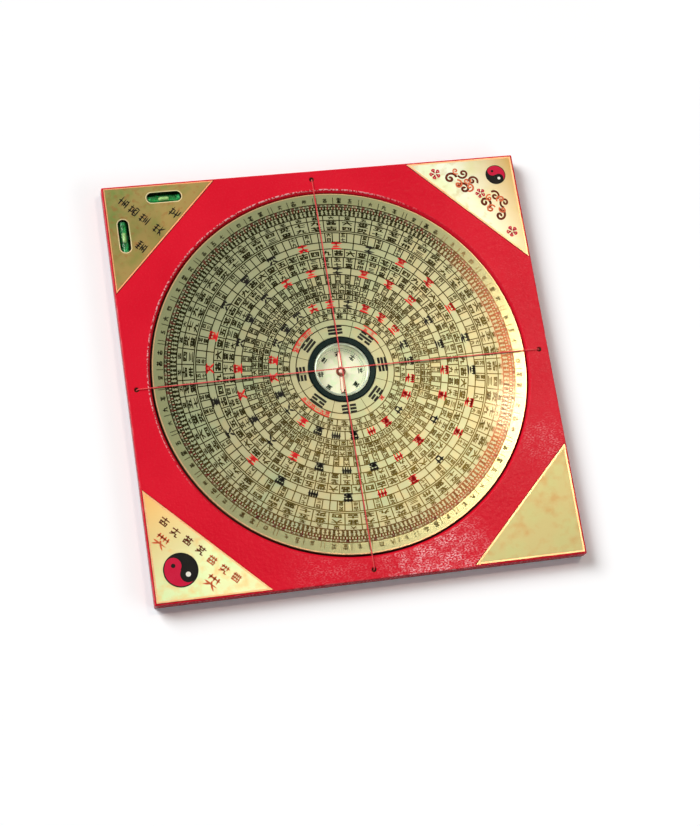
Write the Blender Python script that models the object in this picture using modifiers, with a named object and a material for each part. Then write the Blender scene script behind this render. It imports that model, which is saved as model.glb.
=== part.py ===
"""Feng shui compass: a square lacquered board with a turning dial, a needle capsule and two levels.

All sizes are in metres. X runs to the right along the board, Y up the board and Z out of its face.
The origin is the middle of the underside.
"""
import math

import bmesh
import bpy
from mathutils import Matrix

# Fits that all pieces share
SEAT_GAP = 0.0003
CUTTER_OVERRUN = 0.0015
WELD_DISTANCE = 0.000001

# Board: the frame with the round cut-out and the thin backing under it
FRAME_RIM = 0.0139
FRAME_THICKNESS = 0.0077
FRAME_EDGE_ROUND = 0.0007
CUTOUT_CHAMFER = 0.0015
BACKING_THICKNESS = 0.0020
BACKING_INSET = 0.0005
FINGER_HOLE_RADIUS = 0.030

# Dial: a thick core under a thin face plate
DIAL_RADIUS = 0.110
DIAL_RUNNING_GAP = 0.0011
CORE_THICKNESS = 0.0065
CORE_INSET = 0.0003
CORE_EDGE_CHAMFER = 0.0006
FACE_THICKNESS = 0.0008
FACE_EDGE_CHAMFER = 0.0002

# Corner plates, let into shallow rebates
PLATE_LEG = 0.065
PLATE_INSET = 0.0012
PLATE_THICKNESS = 0.0006
PLATE_EDGE_BEVEL = 0.00015
REBATE_DEPTH = 0.0006

# Levels under the windows of the north-west plate. Their middles lie at these shares of its leg
# from its outer edges: the west edge first, then the north one.
LEVEL_X_LEG_SHARES = (0.534, 0.120)
LEVEL_Y_LEG_SHARES = (0.135, 0.465)
WINDOW_LENGTH = 0.0206
WINDOW_WIDTH = 0.0064
TUBE_RADIUS = 0.0030
TUBE_LENGTH = 0.0220
TUBE_WALL = 0.0006
TUBE_END = 0.0012
TUBE_MOUTH_CHAMFER = 0.0002
BUBBLE_RADIUS = 0.0013
BUBBLE_LENGTH = 0.0064
BUBBLE_TRAVEL = 0.0050

# Sighting threads and the holes that they go down through
THREAD_RADIUS = 0.0004
THREAD_HOLE_RIM_SHARE = 0.6
THREAD_BEND_RADIUS = 0.0014
THREAD_CROSSING_GAP = 0.00015
COUNTERSINK = 0.0010
KNOT_RADIUS = 0.0014
KNOT_HEIGHT = 0.0017
KNOT_HOLE_RADIUS = 0.0028

# Needle capsule, let into the dial
CUP_RADIUS = 0.0180
CUP_WALL = 0.0009
CUP_FLOOR = 0.0006
CUP_RIM_DROP = 0.0005
CARD_INSET = 0.0006
CARD_THICKNESS = 0.0003
GLASS_INSET = 0.0003
GLASS_THICKNESS = 0.0008
GLASS_EDGE_CHAMFER = 0.00015
BEZEL_FLANGE = 0.00185
BEZEL_OVERLAP = 0.0018
BEZEL_LIP = 0.0009
BEZEL_ROUND = 0.0006
BEZEL_BORE_SLOPE = 0.0005
GLASS_RING_WIDTH = 0.0010
GLASS_RING_HEIGHT = 0.0005

# Needle and its pin
NEEDLE_HEADING = math.radians(-3.0)
PIN_FOOT_RADIUS = 0.0011
PIN_FOOT_HEIGHT = 0.0004
PIN_SHAFT_RADIUS = 0.0004
PIN_CONE_HEIGHT = 0.0010
PIN_HEIGHT = 0.0026
BLADE_HALF_LENGTH = 0.0126
BLADE_HALF_WIDTH = 0.0010
BLADE_EYE_RADIUS = 0.0025
BLADE_THICKNESS = 0.0003
BLADE_DROP = 0.0012
CAP_RADIUS = 0.0012
CAP_FLANGE_RADIUS = 0.0022
CAP_FLANGE_HEIGHT = 0.0003
CAP_BORE_RADIUS = 0.0008
CAP_CROWN = 0.0006
RING_RADIUS = 0.0029
RING_HEIGHT = 0.0007

# Sides of the round pieces
DIAL_SIDES = 120
CAPSULE_SIDES = 64
SMALL_SIDES = 32
HOLE_SIDES = 24
QUARTER_STEPS = 4
BALL_RINGS = 8
THREAD_ROUND_STEPS = 2
FRAME_ROUND_SEGMENTS = 2
PLATE_BEVEL_SEGMENTS = 1
SMOOTH_ANGLE = math.radians(35.0)

# Heights, from the underside up
BACKING_TOP = BACKING_THICKNESS
FRAME_BOTTOM = BACKING_TOP + SEAT_GAP
FRAME_TOP = FRAME_BOTTOM + FRAME_THICKNESS
CORE_BOTTOM = BACKING_TOP + SEAT_GAP
CORE_TOP = CORE_BOTTOM + CORE_THICKNESS
FACE_BOTTOM = CORE_TOP + SEAT_GAP
FACE_TOP = FACE_BOTTOM + FACE_THICKNESS
REBATE_FLOOR = FRAME_TOP - REBATE_DEPTH
PLATE_BOTTOM = REBATE_FLOOR + SEAT_GAP
LEVEL_HEIGHT = PLATE_BOTTOM - SEAT_GAP - TUBE_RADIUS
LEVEL_POCKET_FLOOR = LEVEL_HEIGHT - TUBE_RADIUS - SEAT_GAP
CUP_TOP = CORE_TOP - CUP_RIM_DROP
CUP_FLOOR_TOP = CORE_BOTTOM + CUP_FLOOR
CARD_BOTTOM = CUP_FLOOR_TOP + SEAT_GAP
PIN_BOTTOM = CUP_FLOOR_TOP + SEAT_GAP
PIN_TIP = PIN_BOTTOM + PIN_HEIGHT
BLADE_BOTTOM = PIN_TIP - BLADE_DROP
BLADE_TOP = BLADE_BOTTOM + BLADE_THICKNESS
CAP_BOTTOM = BLADE_BOTTOM - SEAT_GAP - CAP_FLANGE_HEIGHT
CAP_APEX = PIN_TIP + SEAT_GAP
CAP_TOP = CAP_APEX + CAP_CROWN
GLASS_BOTTOM = CUP_TOP + SEAT_GAP
GLASS_TOP = GLASS_BOTTOM + GLASS_THICKNESS
BEZEL_BOTTOM = CORE_TOP + SEAT_GAP
BEZEL_LIP_BOTTOM = GLASS_TOP + SEAT_GAP
BEZEL_TOP = BEZEL_LIP_BOTTOM + BEZEL_LIP
THREAD_LIP_HEIGHT = max(FRAME_TOP, FACE_TOP) + SEAT_GAP + THREAD_RADIUS
THREAD_NS_HEIGHT = max(BEZEL_TOP + SEAT_GAP + THREAD_RADIUS, THREAD_LIP_HEIGHT)
THREAD_EW_HEIGHT = THREAD_NS_HEIGHT + 2 * THREAD_RADIUS + THREAD_CROSSING_GAP
KNOT_TOP = FRAME_BOTTOM - SEAT_GAP

# Reaches and radii that follow a neighbour
CUTOUT_RADIUS = DIAL_RADIUS + DIAL_RUNNING_GAP
BOARD_SIDE = 2 * (CUTOUT_RADIUS + FRAME_RIM)
PLATE_REACH = BOARD_SIDE / 2 - PLATE_INSET
THREAD_HOLE_REACH = CUTOUT_RADIUS + THREAD_HOLE_RIM_SHARE * FRAME_RIM
CORE_RADIUS = DIAL_RADIUS - CORE_INSET
CORE_BORE_RADIUS = CUP_RADIUS + SEAT_GAP
BEZEL_RADIUS = CUP_RADIUS + BEZEL_FLANGE
BEZEL_BORE_RADIUS = CUP_RADIUS - BEZEL_OVERLAP
FACE_BORE_RADIUS = BEZEL_RADIUS + SEAT_GAP
THREAD_HOLE_RADIUS = THREAD_RADIUS + SEAT_GAP
TUBE_BORE_RADIUS = TUBE_RADIUS - TUBE_WALL
SPIRIT_RADIUS = TUBE_BORE_RADIUS - SEAT_GAP
BUBBLE_LIFT = TUBE_BORE_RADIUS - SEAT_GAP - BUBBLE_RADIUS
GLASS_RADIUS = CUP_RADIUS - GLASS_INSET
BLADE_HOLE_RADIUS = CAP_RADIUS + SEAT_GAP
CARD_HOLE_RADIUS = PIN_FOOT_RADIUS + SEAT_GAP

# Corners as signs of X and Y
CORNERS = {"nw": (-1, 1), "ne": (1, 1), "sw": (-1, -1), "se": (1, -1)}

# Levels: their place and the turn that lays the tube along X or Y
LEVELS = {"x": (LEVEL_X_LEG_SHARES, 0.0), "y": (LEVEL_Y_LEG_SHARES, math.radians(90.0))}

# Finishes: colour, roughness and metallic value
RED_LACQUER = ((0.72, 0.02, 0.035), 0.35, 0.0)
DARK_BOARD = ((0.10, 0.015, 0.015), 0.60, 0.0)
DARK_CORE = ((0.02, 0.02, 0.018), 0.45, 0.0)
GOLD_FACE = ((0.62, 0.58, 0.28), 0.35, 0.8)
GOLD_PLATE = ((0.66, 0.60, 0.30), 0.30, 0.9)
CLEAR_PLASTIC = ((0.85, 0.95, 0.88), 0.05, 0.0)
COVER_GLASS = ((0.85, 0.92, 0.90), 0.02, 0.0)
GREEN_SPIRIT = ((0.03, 0.30, 0.10), 0.05, 0.0)
AIR = ((0.75, 0.90, 0.60), 0.05, 0.0)
RED_THREAD = ((0.45, 0.01, 0.02), 0.70, 0.0)
BRASS = ((0.80, 0.60, 0.25), 0.25, 1.0)
STEEL = ((0.70, 0.70, 0.72), 0.25, 1.0)
WHITE_CARD = ((0.80, 0.85, 0.70), 0.70, 0.0)
BLACK_ENAMEL = ((0.012, 0.012, 0.012), 0.20, 0.0)
DARK_COPPER = ((0.20, 0.08, 0.05), 0.35, 0.6)


def clear_scene():
    """Remove every object, so that the model starts from nothing."""
    for thing in list(bpy.data.objects):
        bpy.data.objects.remove(thing, do_unlink=True)


def new_collection(name):
    """Add a collection to the scene."""
    collection = bpy.data.collections.new(name)
    bpy.context.scene.collection.children.link(collection)
    return collection


def finish_material(name, finish):
    """Make a plain Principled material from a colour, a roughness and a metallic value."""
    colour, roughness, metallic = finish
    material = bpy.data.materials.new(name + "_finish")
    material.use_nodes = True
    shader = material.node_tree.nodes["Principled BSDF"]
    shader.inputs["Base Color"].default_value = (*colour, 1.0)
    shader.inputs["Roughness"].default_value = roughness
    shader.inputs["Metallic"].default_value = metallic
    material.diffuse_color = (*colour, 1.0)
    return material


def add_part(thing, finish, parent=None):
    """Put a finished piece into the model's collection, dress it and hang it on its axis."""
    for owner in list(thing.users_collection):
        owner.objects.unlink(thing)
    PARTS.objects.link(thing)
    thing.data.materials.clear()
    thing.data.materials.append(finish_material(thing.name, finish))
    if parent is not None:
        thing.parent = parent
    return thing


def add_cutter(thing):
    """Keep a cutter out of the model: it only shapes the pieces that it is subtracted from."""
    for owner in list(thing.users_collection):
        owner.objects.unlink(thing)
    CUTTERS.objects.link(thing)
    thing.hide_render = True
    thing.display_type = "WIRE"
    return thing


def subtract(piece, cutter):
    """Cut one solid out of another."""
    modifier = piece.modifiers.new("cut_" + cutter.name, "BOOLEAN")
    modifier.operation = "DIFFERENCE"
    modifier.object = cutter


def unite(piece, addition):
    """Join a second solid to a piece."""
    modifier = piece.modifiers.new("join_" + addition.name, "BOOLEAN")
    modifier.operation = "UNION"
    modifier.object = addition


def round_edges(piece, width, segments):
    """Break the sharp edges of a piece."""
    modifier = piece.modifiers.new("edges", "BEVEL")
    modifier.width = width
    modifier.segments = segments
    modifier.limit_method = "ANGLE"
    modifier.angle_limit = SMOOTH_ANGLE


def stretch(piece, x, y, z):
    """Bring a unit primitive to its size, in its mesh."""
    piece.data.transform(Matrix.Diagonal((x, y, z, 1.0)))


def turned(name, profile, sides, height=0.0):
    """Turn a profile of (radius, height) points round Z; its outer side runs from top to bottom.

    A profile that starts and ends on the axis makes a solid; any other is closed into a ring.
    """
    on_axis = profile[0][0] == 0.0 and profile[-1][0] == 0.0
    edges = [(i, i + 1) for i in range(len(profile) - 1)]
    if not on_axis:
        edges.append((len(profile) - 1, 0))
    mesh = bpy.data.meshes.new(name)
    mesh.from_pydata([(radius, 0.0, z) for radius, z in profile], edges, [])
    piece = bpy.data.objects.new(name, mesh)
    piece.location.z = height
    PARTS.objects.link(piece)
    screw = piece.modifiers.new("turn", "SCREW")
    screw.steps = sides
    screw.render_steps = sides
    screw.use_merge_vertices = True
    screw.merge_threshold = WELD_DISTANCE
    screw.use_smooth_shade = False
    return piece


def smooth_round(piece):
    """Shade the round sides smooth and keep the edges crisp."""
    settled = as_mesh(piece)
    settled.data.shade_smooth()
    settled.data.set_sharp_from_angle(angle=SMOOTH_ANGLE)
    return settled


def as_mesh(piece):
    """Turn a piece with its modifiers, or a curve, into one welded mesh at the same place."""
    bpy.context.view_layer.update()
    evaluated = piece.evaluated_get(bpy.context.evaluated_depsgraph_get())
    mesh = bpy.data.meshes.new_from_object(evaluated)
    welded = bmesh.new()
    welded.from_mesh(mesh)
    bmesh.ops.remove_doubles(welded, verts=welded.verts, dist=WELD_DISTANCE)
    welded.to_mesh(mesh)
    welded.free()
    name = piece.name
    place = piece.matrix_world.copy()
    bpy.data.objects.remove(piece, do_unlink=True)
    settled = bpy.data.objects.new(name, mesh)
    settled.matrix_world = place
    PARTS.objects.link(settled)
    return settled


def flat_solid(name, outline, holes, thickness, bottom):
    """Make a flat piece from an outline and its holes, lying on the height given."""
    curve = bpy.data.curves.new(name, "CURVE")
    curve.dimensions = "2D"
    curve.fill_mode = "BOTH"
    curve.extrude = thickness / 2
    for loop in [outline] + holes:
        spline = curve.splines.new("POLY")
        spline.points.add(len(loop) - 1)
        for point, (x, y) in zip(spline.points, loop):
            point.co = (x, y, 0.0, 1.0)
        spline.use_cyclic_u = True
    piece = bpy.data.objects.new(name, curve)
    piece.location.z = bottom + thickness / 2
    PARTS.objects.link(piece)
    return as_mesh(piece)


def arc(centre, radius, start, end, steps):
    """Points along an arc in the plane, both ends included."""
    points = []
    for i in range(steps + 1):
        angle = start + (end - start) * i / steps
        points.append((centre[0] + radius * math.cos(angle), centre[1] + radius * math.sin(angle)))
    return points


def half_round(inner, outer, height):
    """Profile of a ring with a flat foot and a rounded back, from its inner edge to its outer one."""
    middle = (inner + outer) / 2
    half = (outer - inner) / 2
    back = arc((0.0, 0.0), 1.0, math.pi, 0.0, 2 * QUARTER_STEPS)
    return [(middle + half * x, height * y) for x, y in back]


def circle(centre, radius, sides):
    """Points round a circle."""
    return arc(centre, radius, 0.0, 2 * math.pi, sides)[:-1]


def square(side):
    """Corners of a square about the origin."""
    half = side / 2
    return [(-half, -half), (half, -half), (half, half), (-half, half)]


def stadium(centre, length, width, turn):
    """Outline of a slot with round ends, turned about its own centre."""
    reach = (length - width) / 2
    quarter = math.pi / 2
    right = arc((reach, 0.0), width / 2, -quarter, quarter, SMALL_SIDES // 2)
    left = [(-x, -y) for x, y in right]
    cosine = math.cos(turn)
    sine = math.sin(turn)
    return [(centre[0] + x * cosine - y * sine, centre[1] + x * sine + y * cosine) for x, y in right + left]


def corner_triangle(corner, leg, reach):
    """Outline of a corner plate: the right angle lies at reach, the legs run back from it."""
    sx, sy = CORNERS[corner]
    return [(sx * reach, sy * reach), (sx * (reach - leg), sy * reach), (sx * reach, sy * (reach - leg))]


def bore_cutter(name, radius, top, bottom, chamfer, sides):
    """Cutter for a hole through a board, opened by a chamfer at its upper mouth."""
    over = CUTTER_OVERRUN
    profile = [
        (0.0, top + over),
        (radius + chamfer + over, top + over),
        (radius, top - chamfer),
        (radius, bottom - over),
        (0.0, bottom - over),
    ]
    return add_cutter(smooth_round(turned(name, profile, sides)))


def level_place(shares):
    """Middle of a level, from its shares of the north-west plate's leg."""
    west_share, north_share = shares
    return (west_share * PLATE_LEG - PLATE_REACH, PLATE_REACH - north_share * PLATE_LEG)


def thread_ends():
    """Places of the four thread holes: north, south, east and west."""
    reach = THREAD_HOLE_REACH
    return {"n": (0.0, reach), "s": (0.0, -reach), "e": (reach, 0.0), "w": (-reach, 0.0)}


def build_base_frame():
    """Square board with the dial's cut-out, the corner rebates, the level pockets and the thread holes."""
    bpy.ops.mesh.primitive_cube_add(size=1.0)
    frame = bpy.context.object
    frame.name = "base_frame"
    stretch(frame, BOARD_SIDE, BOARD_SIDE, FRAME_THICKNESS)
    frame.location = (0.0, 0.0, FRAME_BOTTOM + FRAME_THICKNESS / 2)
    add_part(frame, RED_LACQUER)
    round_edges(frame, FRAME_EDGE_ROUND, FRAME_ROUND_SEGMENTS)
    cutout = bore_cutter("cutout_cutter", CUTOUT_RADIUS, FRAME_TOP, FRAME_BOTTOM, CUTOUT_CHAMFER, DIAL_SIDES)
    subtract(frame, cutout)
    rebate_reach = PLATE_REACH + SEAT_GAP
    rebate_leg = PLATE_LEG + SEAT_GAP * (2 + math.sqrt(2))
    rebate_height = REBATE_DEPTH + CUTTER_OVERRUN
    for corner in CORNERS:
        outline = corner_triangle(corner, rebate_leg, rebate_reach)
        rebate = flat_solid(f"rebate_cutter_{corner}", outline, [], rebate_height, REBATE_FLOOR)
        subtract(frame, add_cutter(rebate))
    pocket_width = 2 * (TUBE_RADIUS + SEAT_GAP)
    pocket_length = TUBE_LENGTH + 2 * SEAT_GAP + pocket_width
    pocket_height = REBATE_FLOOR - LEVEL_POCKET_FLOOR + CUTTER_OVERRUN
    for level, (shares, turn) in LEVELS.items():
        outline = stadium(level_place(shares), pocket_length, pocket_width, turn)
        pocket = flat_solid(f"level_pocket_cutter_{level}", outline, [], pocket_height, LEVEL_POCKET_FLOOR)
        subtract(frame, add_cutter(pocket))
    for side, (x, y) in thread_ends().items():
        name = f"thread_hole_cutter_{side}"
        hole = bore_cutter(name, THREAD_HOLE_RADIUS, FRAME_TOP, FRAME_BOTTOM, COUNTERSINK, HOLE_SIDES)
        hole.location.x = x
        hole.location.y = y
        subtract(frame, hole)


def build_backing_panel():
    """Thin board under the frame, with the finger hole and the holes that the knots lie in."""
    outline = square(BOARD_SIDE - 2 * BACKING_INSET)
    holes = [circle((0.0, 0.0), FINGER_HOLE_RADIUS, CAPSULE_SIDES)]
    holes += [circle(place, KNOT_HOLE_RADIUS, HOLE_SIDES) for place in thread_ends().values()]
    add_part(flat_solid("backing_panel", outline, holes, BACKING_THICKNESS, 0.0), DARK_BOARD)


def build_corner_plates():
    """Four gold triangles; the north-west one has the two level windows."""
    for corner in CORNERS:
        windows = []
        if corner == "nw":
            windows = [
                stadium(level_place(shares), WINDOW_LENGTH, WINDOW_WIDTH, turn)
                for shares, turn in LEVELS.values()
            ]
        outline = corner_triangle(corner, PLATE_LEG, PLATE_REACH)
        plate = flat_solid(f"corner_plate_{corner}", outline, windows, PLATE_THICKNESS, PLATE_BOTTOM)
        round_edges(plate, PLATE_EDGE_BEVEL, PLATE_BEVEL_SEGMENTS)
        add_part(plate, GOLD_PLATE)


def level_axis(level):
    """Empty at the middle of a level, with its Z along the tube."""
    shares, turn = LEVELS[level]
    x, y = level_place(shares)
    axis = bpy.data.objects.new(f"level_{level}_axis", None)
    axis.location = (x, y, LEVEL_HEIGHT)
    axis.rotation_euler = (0.0, math.radians(90.0), turn)
    PARTS.objects.link(axis)
    return axis


def build_tube(level, axis):
    """Clear tube, closed at one end and open at the other."""
    half = TUBE_LENGTH / 2
    profile = [
        (0.0, TUBE_END - half),
        (TUBE_BORE_RADIUS, TUBE_END - half),
        (TUBE_BORE_RADIUS, half),
        (TUBE_RADIUS - TUBE_MOUTH_CHAMFER, half),
        (TUBE_RADIUS, half - TUBE_MOUTH_CHAMFER),
        (TUBE_RADIUS, TUBE_MOUTH_CHAMFER - half),
        (TUBE_RADIUS - TUBE_MOUTH_CHAMFER, -half),
        (0.0, -half),
    ]
    add_part(smooth_round(turned(f"level_{level}_tube", profile, SMALL_SIDES)), CLEAR_PLASTIC, axis)


def build_plug(level, axis):
    """Plug in the tube's open end, as long as the closed end is thick."""
    half = TUBE_LENGTH / 2
    profile = [(0.0, half), (SPIRIT_RADIUS, half), (SPIRIT_RADIUS, half - TUBE_END), (0.0, half - TUBE_END)]
    add_part(smooth_round(turned(f"level_{level}_plug", profile, SMALL_SIDES)), CLEAR_PLASTIC, axis)


def capsule_profile(radius, half_length):
    """Profile of a rod with ball ends, from its upper pole to its lower one."""
    reach = half_length - radius
    quarter = math.pi / 2
    top = arc((0.0, reach), radius, quarter, 0.0, QUARTER_STEPS)
    bottom = arc((0.0, -reach), radius, 0.0, -quarter, QUARTER_STEPS)
    return [(0.0, half_length)] + top[1:] + bottom[:-1] + [(0.0, -half_length)]


def build_spirit(level, axis):
    """Green filling, with the trough along its top that the bubble runs in."""
    half = TUBE_LENGTH / 2 - TUBE_END - SEAT_GAP
    profile = [(0.0, half), (SPIRIT_RADIUS, half), (SPIRIT_RADIUS, -half), (0.0, -half)]
    spirit = add_part(smooth_round(turned(f"level_{level}_spirit", profile, SMALL_SIDES)), GREEN_SPIRIT, axis)
    reach = BUBBLE_LENGTH / 2 + BUBBLE_TRAVEL + SEAT_GAP
    trough = turned(f"trough_cutter_{level}", capsule_profile(BUBBLE_RADIUS + SEAT_GAP, reach), HOLE_SIDES)
    trough = add_cutter(smooth_round(trough))
    trough.parent = axis
    trough.location.x = -BUBBLE_LIFT
    subtract(spirit, trough)


def build_bubble(level, axis):
    """Bubble under the top of the bore, free to run along it."""
    profile = capsule_profile(BUBBLE_RADIUS, BUBBLE_LENGTH / 2)
    bubble = add_part(smooth_round(turned(f"level_{level}_bubble", profile, HOLE_SIDES)), AIR, axis)
    bubble.location.x = -BUBBLE_LIFT


def build_levels():
    """The two spirit levels."""
    for level in LEVELS:
        axis = level_axis(level)
        build_tube(level, axis)
        build_plug(level, axis)
        build_spirit(level, axis)
        build_bubble(level, axis)


def thread_route(knot_height, bezel_reach, middle_height):
    """Half of a thread's centre line as (distance from the middle, height), from the knot inwards.

    It goes up the hole, bends over the mouth and runs straight to the bezel or to the crossing.
    """
    bend = THREAD_BEND_RADIUS
    centre = (THREAD_HOLE_REACH - bend, THREAD_LIP_HEIGHT - bend)
    route = [(THREAD_HOLE_REACH, knot_height)]
    route += arc(centre, bend, 0.0, math.pi / 2, QUARTER_STEPS)
    route.append((bezel_reach, middle_height))
    return route


def build_thread(name, bezel_reach, middle_height, turn):
    """One length of thread from knot to knot, taut across the dial."""
    knot_height = KNOT_TOP - KNOT_HEIGHT / 2
    half = thread_route(knot_height, bezel_reach, middle_height)
    route = half + [(-reach, height) for reach, height in reversed(half)]
    curve = bpy.data.curves.new(name, "CURVE")
    curve.dimensions = "3D"
    curve.bevel_depth = THREAD_RADIUS
    curve.bevel_resolution = THREAD_ROUND_STEPS
    curve.use_fill_caps = True
    spline = curve.splines.new("POLY")
    spline.points.add(len(route) - 1)
    for point, (reach, height) in zip(spline.points, route):
        point.co = (reach, 0.0, height, 1.0)
    thread = bpy.data.objects.new(name, curve)
    thread.rotation_euler.z = turn
    PARTS.objects.link(thread)
    thread = as_mesh(thread)
    for end, side in (("first", 1), ("last", -1)):
        bpy.ops.mesh.primitive_uv_sphere_add(segments=HOLE_SIDES // 2, ring_count=BALL_RINGS, radius=1.0)
        knot = bpy.context.object
        knot.name = f"{name}_{end}_knot"
        stretch(knot, KNOT_RADIUS, KNOT_RADIUS, KNOT_HEIGHT / 2)
        place = side * THREAD_HOLE_REACH
        knot.location = (place * math.cos(turn), place * math.sin(turn), knot_height)
        unite(thread, add_cutter(knot))
    thread.data.shade_smooth()
    add_part(thread, RED_THREAD)


def build_threads():
    """The north-south thread lies on the bezel and the east-west one crosses over it."""
    build_thread("thread_ns", BEZEL_RADIUS, THREAD_NS_HEIGHT, math.radians(90.0))
    build_thread("thread_ew", THREAD_RADIUS, THREAD_EW_HEIGHT, 0.0)


def build_dial_core(axis):
    """Thick disc that turns in the frame, bored for the needle capsule."""
    chamfer = CORE_EDGE_CHAMFER
    profile = [
        (CORE_BORE_RADIUS, CORE_THICKNESS),
        (CORE_RADIUS, CORE_THICKNESS),
        (CORE_RADIUS, chamfer),
        (CORE_RADIUS - chamfer, 0.0),
        (CORE_BORE_RADIUS, 0.0),
    ]
    add_part(smooth_round(turned("dial_core", profile, DIAL_SIDES, CORE_BOTTOM)), DARK_CORE, axis)


def build_dial_face(axis):
    """Thin gold plate on the core, open where the bezel goes in."""
    chamfer = FACE_EDGE_CHAMFER
    profile = [
        (FACE_BORE_RADIUS, FACE_THICKNESS),
        (DIAL_RADIUS - chamfer, FACE_THICKNESS),
        (DIAL_RADIUS, FACE_THICKNESS - chamfer),
        (DIAL_RADIUS, 0.0),
        (FACE_BORE_RADIUS, 0.0),
    ]
    add_part(smooth_round(turned("dial_face", profile, DIAL_SIDES, FACE_BOTTOM)), GOLD_FACE, axis)


def build_capsule_cup(axis):
    """Cup let through the core, its underside flush with the core's."""
    height = CUP_TOP - CORE_BOTTOM
    profile = [
        (0.0, CUP_FLOOR),
        (CUP_RADIUS - CUP_WALL, CUP_FLOOR),
        (CUP_RADIUS - CUP_WALL, height),
        (CUP_RADIUS, height),
        (CUP_RADIUS, 0.0),
        (0.0, 0.0),
    ]
    add_part(smooth_round(turned("capsule_cup", profile, CAPSULE_SIDES, CORE_BOTTOM)), BRASS, axis)


def build_capsule_card(axis):
    """Round card on the floor of the cup, with a hole for the pin."""
    radius = CUP_RADIUS - CUP_WALL - CARD_INSET
    profile = [
        (CARD_HOLE_RADIUS, CARD_THICKNESS),
        (radius, CARD_THICKNESS),
        (radius, 0.0),
        (CARD_HOLE_RADIUS, 0.0),
    ]
    add_part(smooth_round(turned("capsule_card", profile, CAPSULE_SIDES, CARD_BOTTOM)), WHITE_CARD, axis)


def build_pivot_pin(axis):
    """Pointed pin on a small foot."""
    profile = [
        (0.0, PIN_HEIGHT),
        (PIN_SHAFT_RADIUS, PIN_HEIGHT - PIN_CONE_HEIGHT),
        (PIN_SHAFT_RADIUS, PIN_FOOT_HEIGHT),
        (PIN_FOOT_RADIUS, PIN_FOOT_HEIGHT),
        (PIN_FOOT_RADIUS, 0.0),
        (0.0, 0.0),
    ]
    add_part(smooth_round(turned("pivot_pin", profile, HOLE_SIDES, PIN_BOTTOM)), STEEL, axis)


def build_capsule_glass(axis):
    """Cover glass on the rim of the cup."""
    chamfer = GLASS_EDGE_CHAMFER
    profile = [
        (0.0, GLASS_THICKNESS),
        (GLASS_RADIUS - chamfer, GLASS_THICKNESS),
        (GLASS_RADIUS, GLASS_THICKNESS - chamfer),
        (GLASS_RADIUS, 0.0),
        (0.0, 0.0),
    ]
    add_part(smooth_round(turned("capsule_glass", profile, CAPSULE_SIDES, GLASS_BOTTOM)), COVER_GLASS, axis)


def build_capsule_bezel(axis):
    """Black ring in the face plate, with a lip over the glass, a rounded top and a sloping bore."""
    height = BEZEL_TOP - BEZEL_BOTTOM
    lip_bottom = BEZEL_LIP_BOTTOM - BEZEL_BOTTOM
    centre = (BEZEL_RADIUS - BEZEL_ROUND, height - BEZEL_ROUND)
    profile = [(BEZEL_BORE_RADIUS + BEZEL_BORE_SLOPE, height)]
    profile += arc(centre, BEZEL_ROUND, math.pi / 2, 0.0, QUARTER_STEPS)
    profile += [
        (BEZEL_RADIUS, 0.0),
        (GLASS_RADIUS + SEAT_GAP, 0.0),
        (GLASS_RADIUS + SEAT_GAP, lip_bottom),
        (BEZEL_BORE_RADIUS, lip_bottom),
        (BEZEL_BORE_RADIUS, height - BEZEL_BORE_SLOPE),
    ]
    add_part(smooth_round(turned("capsule_bezel", profile, CAPSULE_SIDES, BEZEL_BOTTOM)), BLACK_ENAMEL, axis)


def build_glass_ring(axis):
    """Bright snap ring on the glass, inside the bezel's bore, half round on top."""
    outer = BEZEL_BORE_RADIUS - SEAT_GAP
    profile = half_round(outer - GLASS_RING_WIDTH, outer, GLASS_RING_HEIGHT)
    ring = turned("glass_ring", profile, CAPSULE_SIDES, GLASS_TOP + SEAT_GAP)
    add_part(smooth_round(ring), STEEL, axis)


def blade_outline():
    """Needle outline: a narrow strip with round ends that widens to a round eye at its middle."""
    quarter = math.pi / 2
    spread = math.asin(BLADE_HALF_WIDTH / BLADE_EYE_RADIUS)
    tip_centre = (0.0, BLADE_HALF_LENGTH - BLADE_HALF_WIDTH)
    tip = arc(tip_centre, BLADE_HALF_WIDTH, 0.0, math.pi, 2 * QUARTER_STEPS)
    eye = arc((0.0, 0.0), BLADE_EYE_RADIUS, quarter + spread, 3 * quarter - spread, SMALL_SIDES // 2)
    half = tip + eye
    return half + [(-x, -y) for x, y in half]


def build_needle_blade(axis):
    """Thin steel blade with a hole for the cap."""
    hole = circle((0.0, 0.0), BLADE_HOLE_RADIUS, HOLE_SIDES)
    blade = flat_solid("needle_blade", blade_outline(), [hole], BLADE_THICKNESS, BLADE_BOTTOM)
    add_part(blade, STEEL, axis)


def build_needle_cap(axis):
    """Turned cap: a flange under the blade, a body through it and a hollow cone on the pin."""
    apex = CAP_APEX - CAP_BOTTOM
    top = CAP_TOP - CAP_BOTTOM
    cone_start = apex - PIN_CONE_HEIGHT
    shoulder = top - CAP_CROWN
    crown = arc((0.0, 0.0), 1.0, math.pi / 2, 0.0, QUARTER_STEPS)
    profile = [(0.0, top)]
    profile += [(CAP_RADIUS * x, shoulder + CAP_CROWN * y) for x, y in crown[1:]]
    profile += [
        (CAP_RADIUS, CAP_FLANGE_HEIGHT),
        (CAP_FLANGE_RADIUS, CAP_FLANGE_HEIGHT),
        (CAP_FLANGE_RADIUS, 0.0),
        (CAP_BORE_RADIUS, 0.0),
        (CAP_BORE_RADIUS, cone_start),
        (0.0, apex),
    ]
    add_part(smooth_round(turned("needle_cap", profile, HOLE_SIDES, CAP_BOTTOM)), BRASS, axis)


def build_needle_ring(axis):
    """Dark ring lying on the blade round the cap, half round on top."""
    profile = half_round(BLADE_HOLE_RADIUS, RING_RADIUS, RING_HEIGHT)
    ring = turned("needle_ring", profile, SMALL_SIDES, BLADE_TOP + SEAT_GAP)
    add_part(smooth_round(ring), DARK_COPPER, axis)


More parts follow.
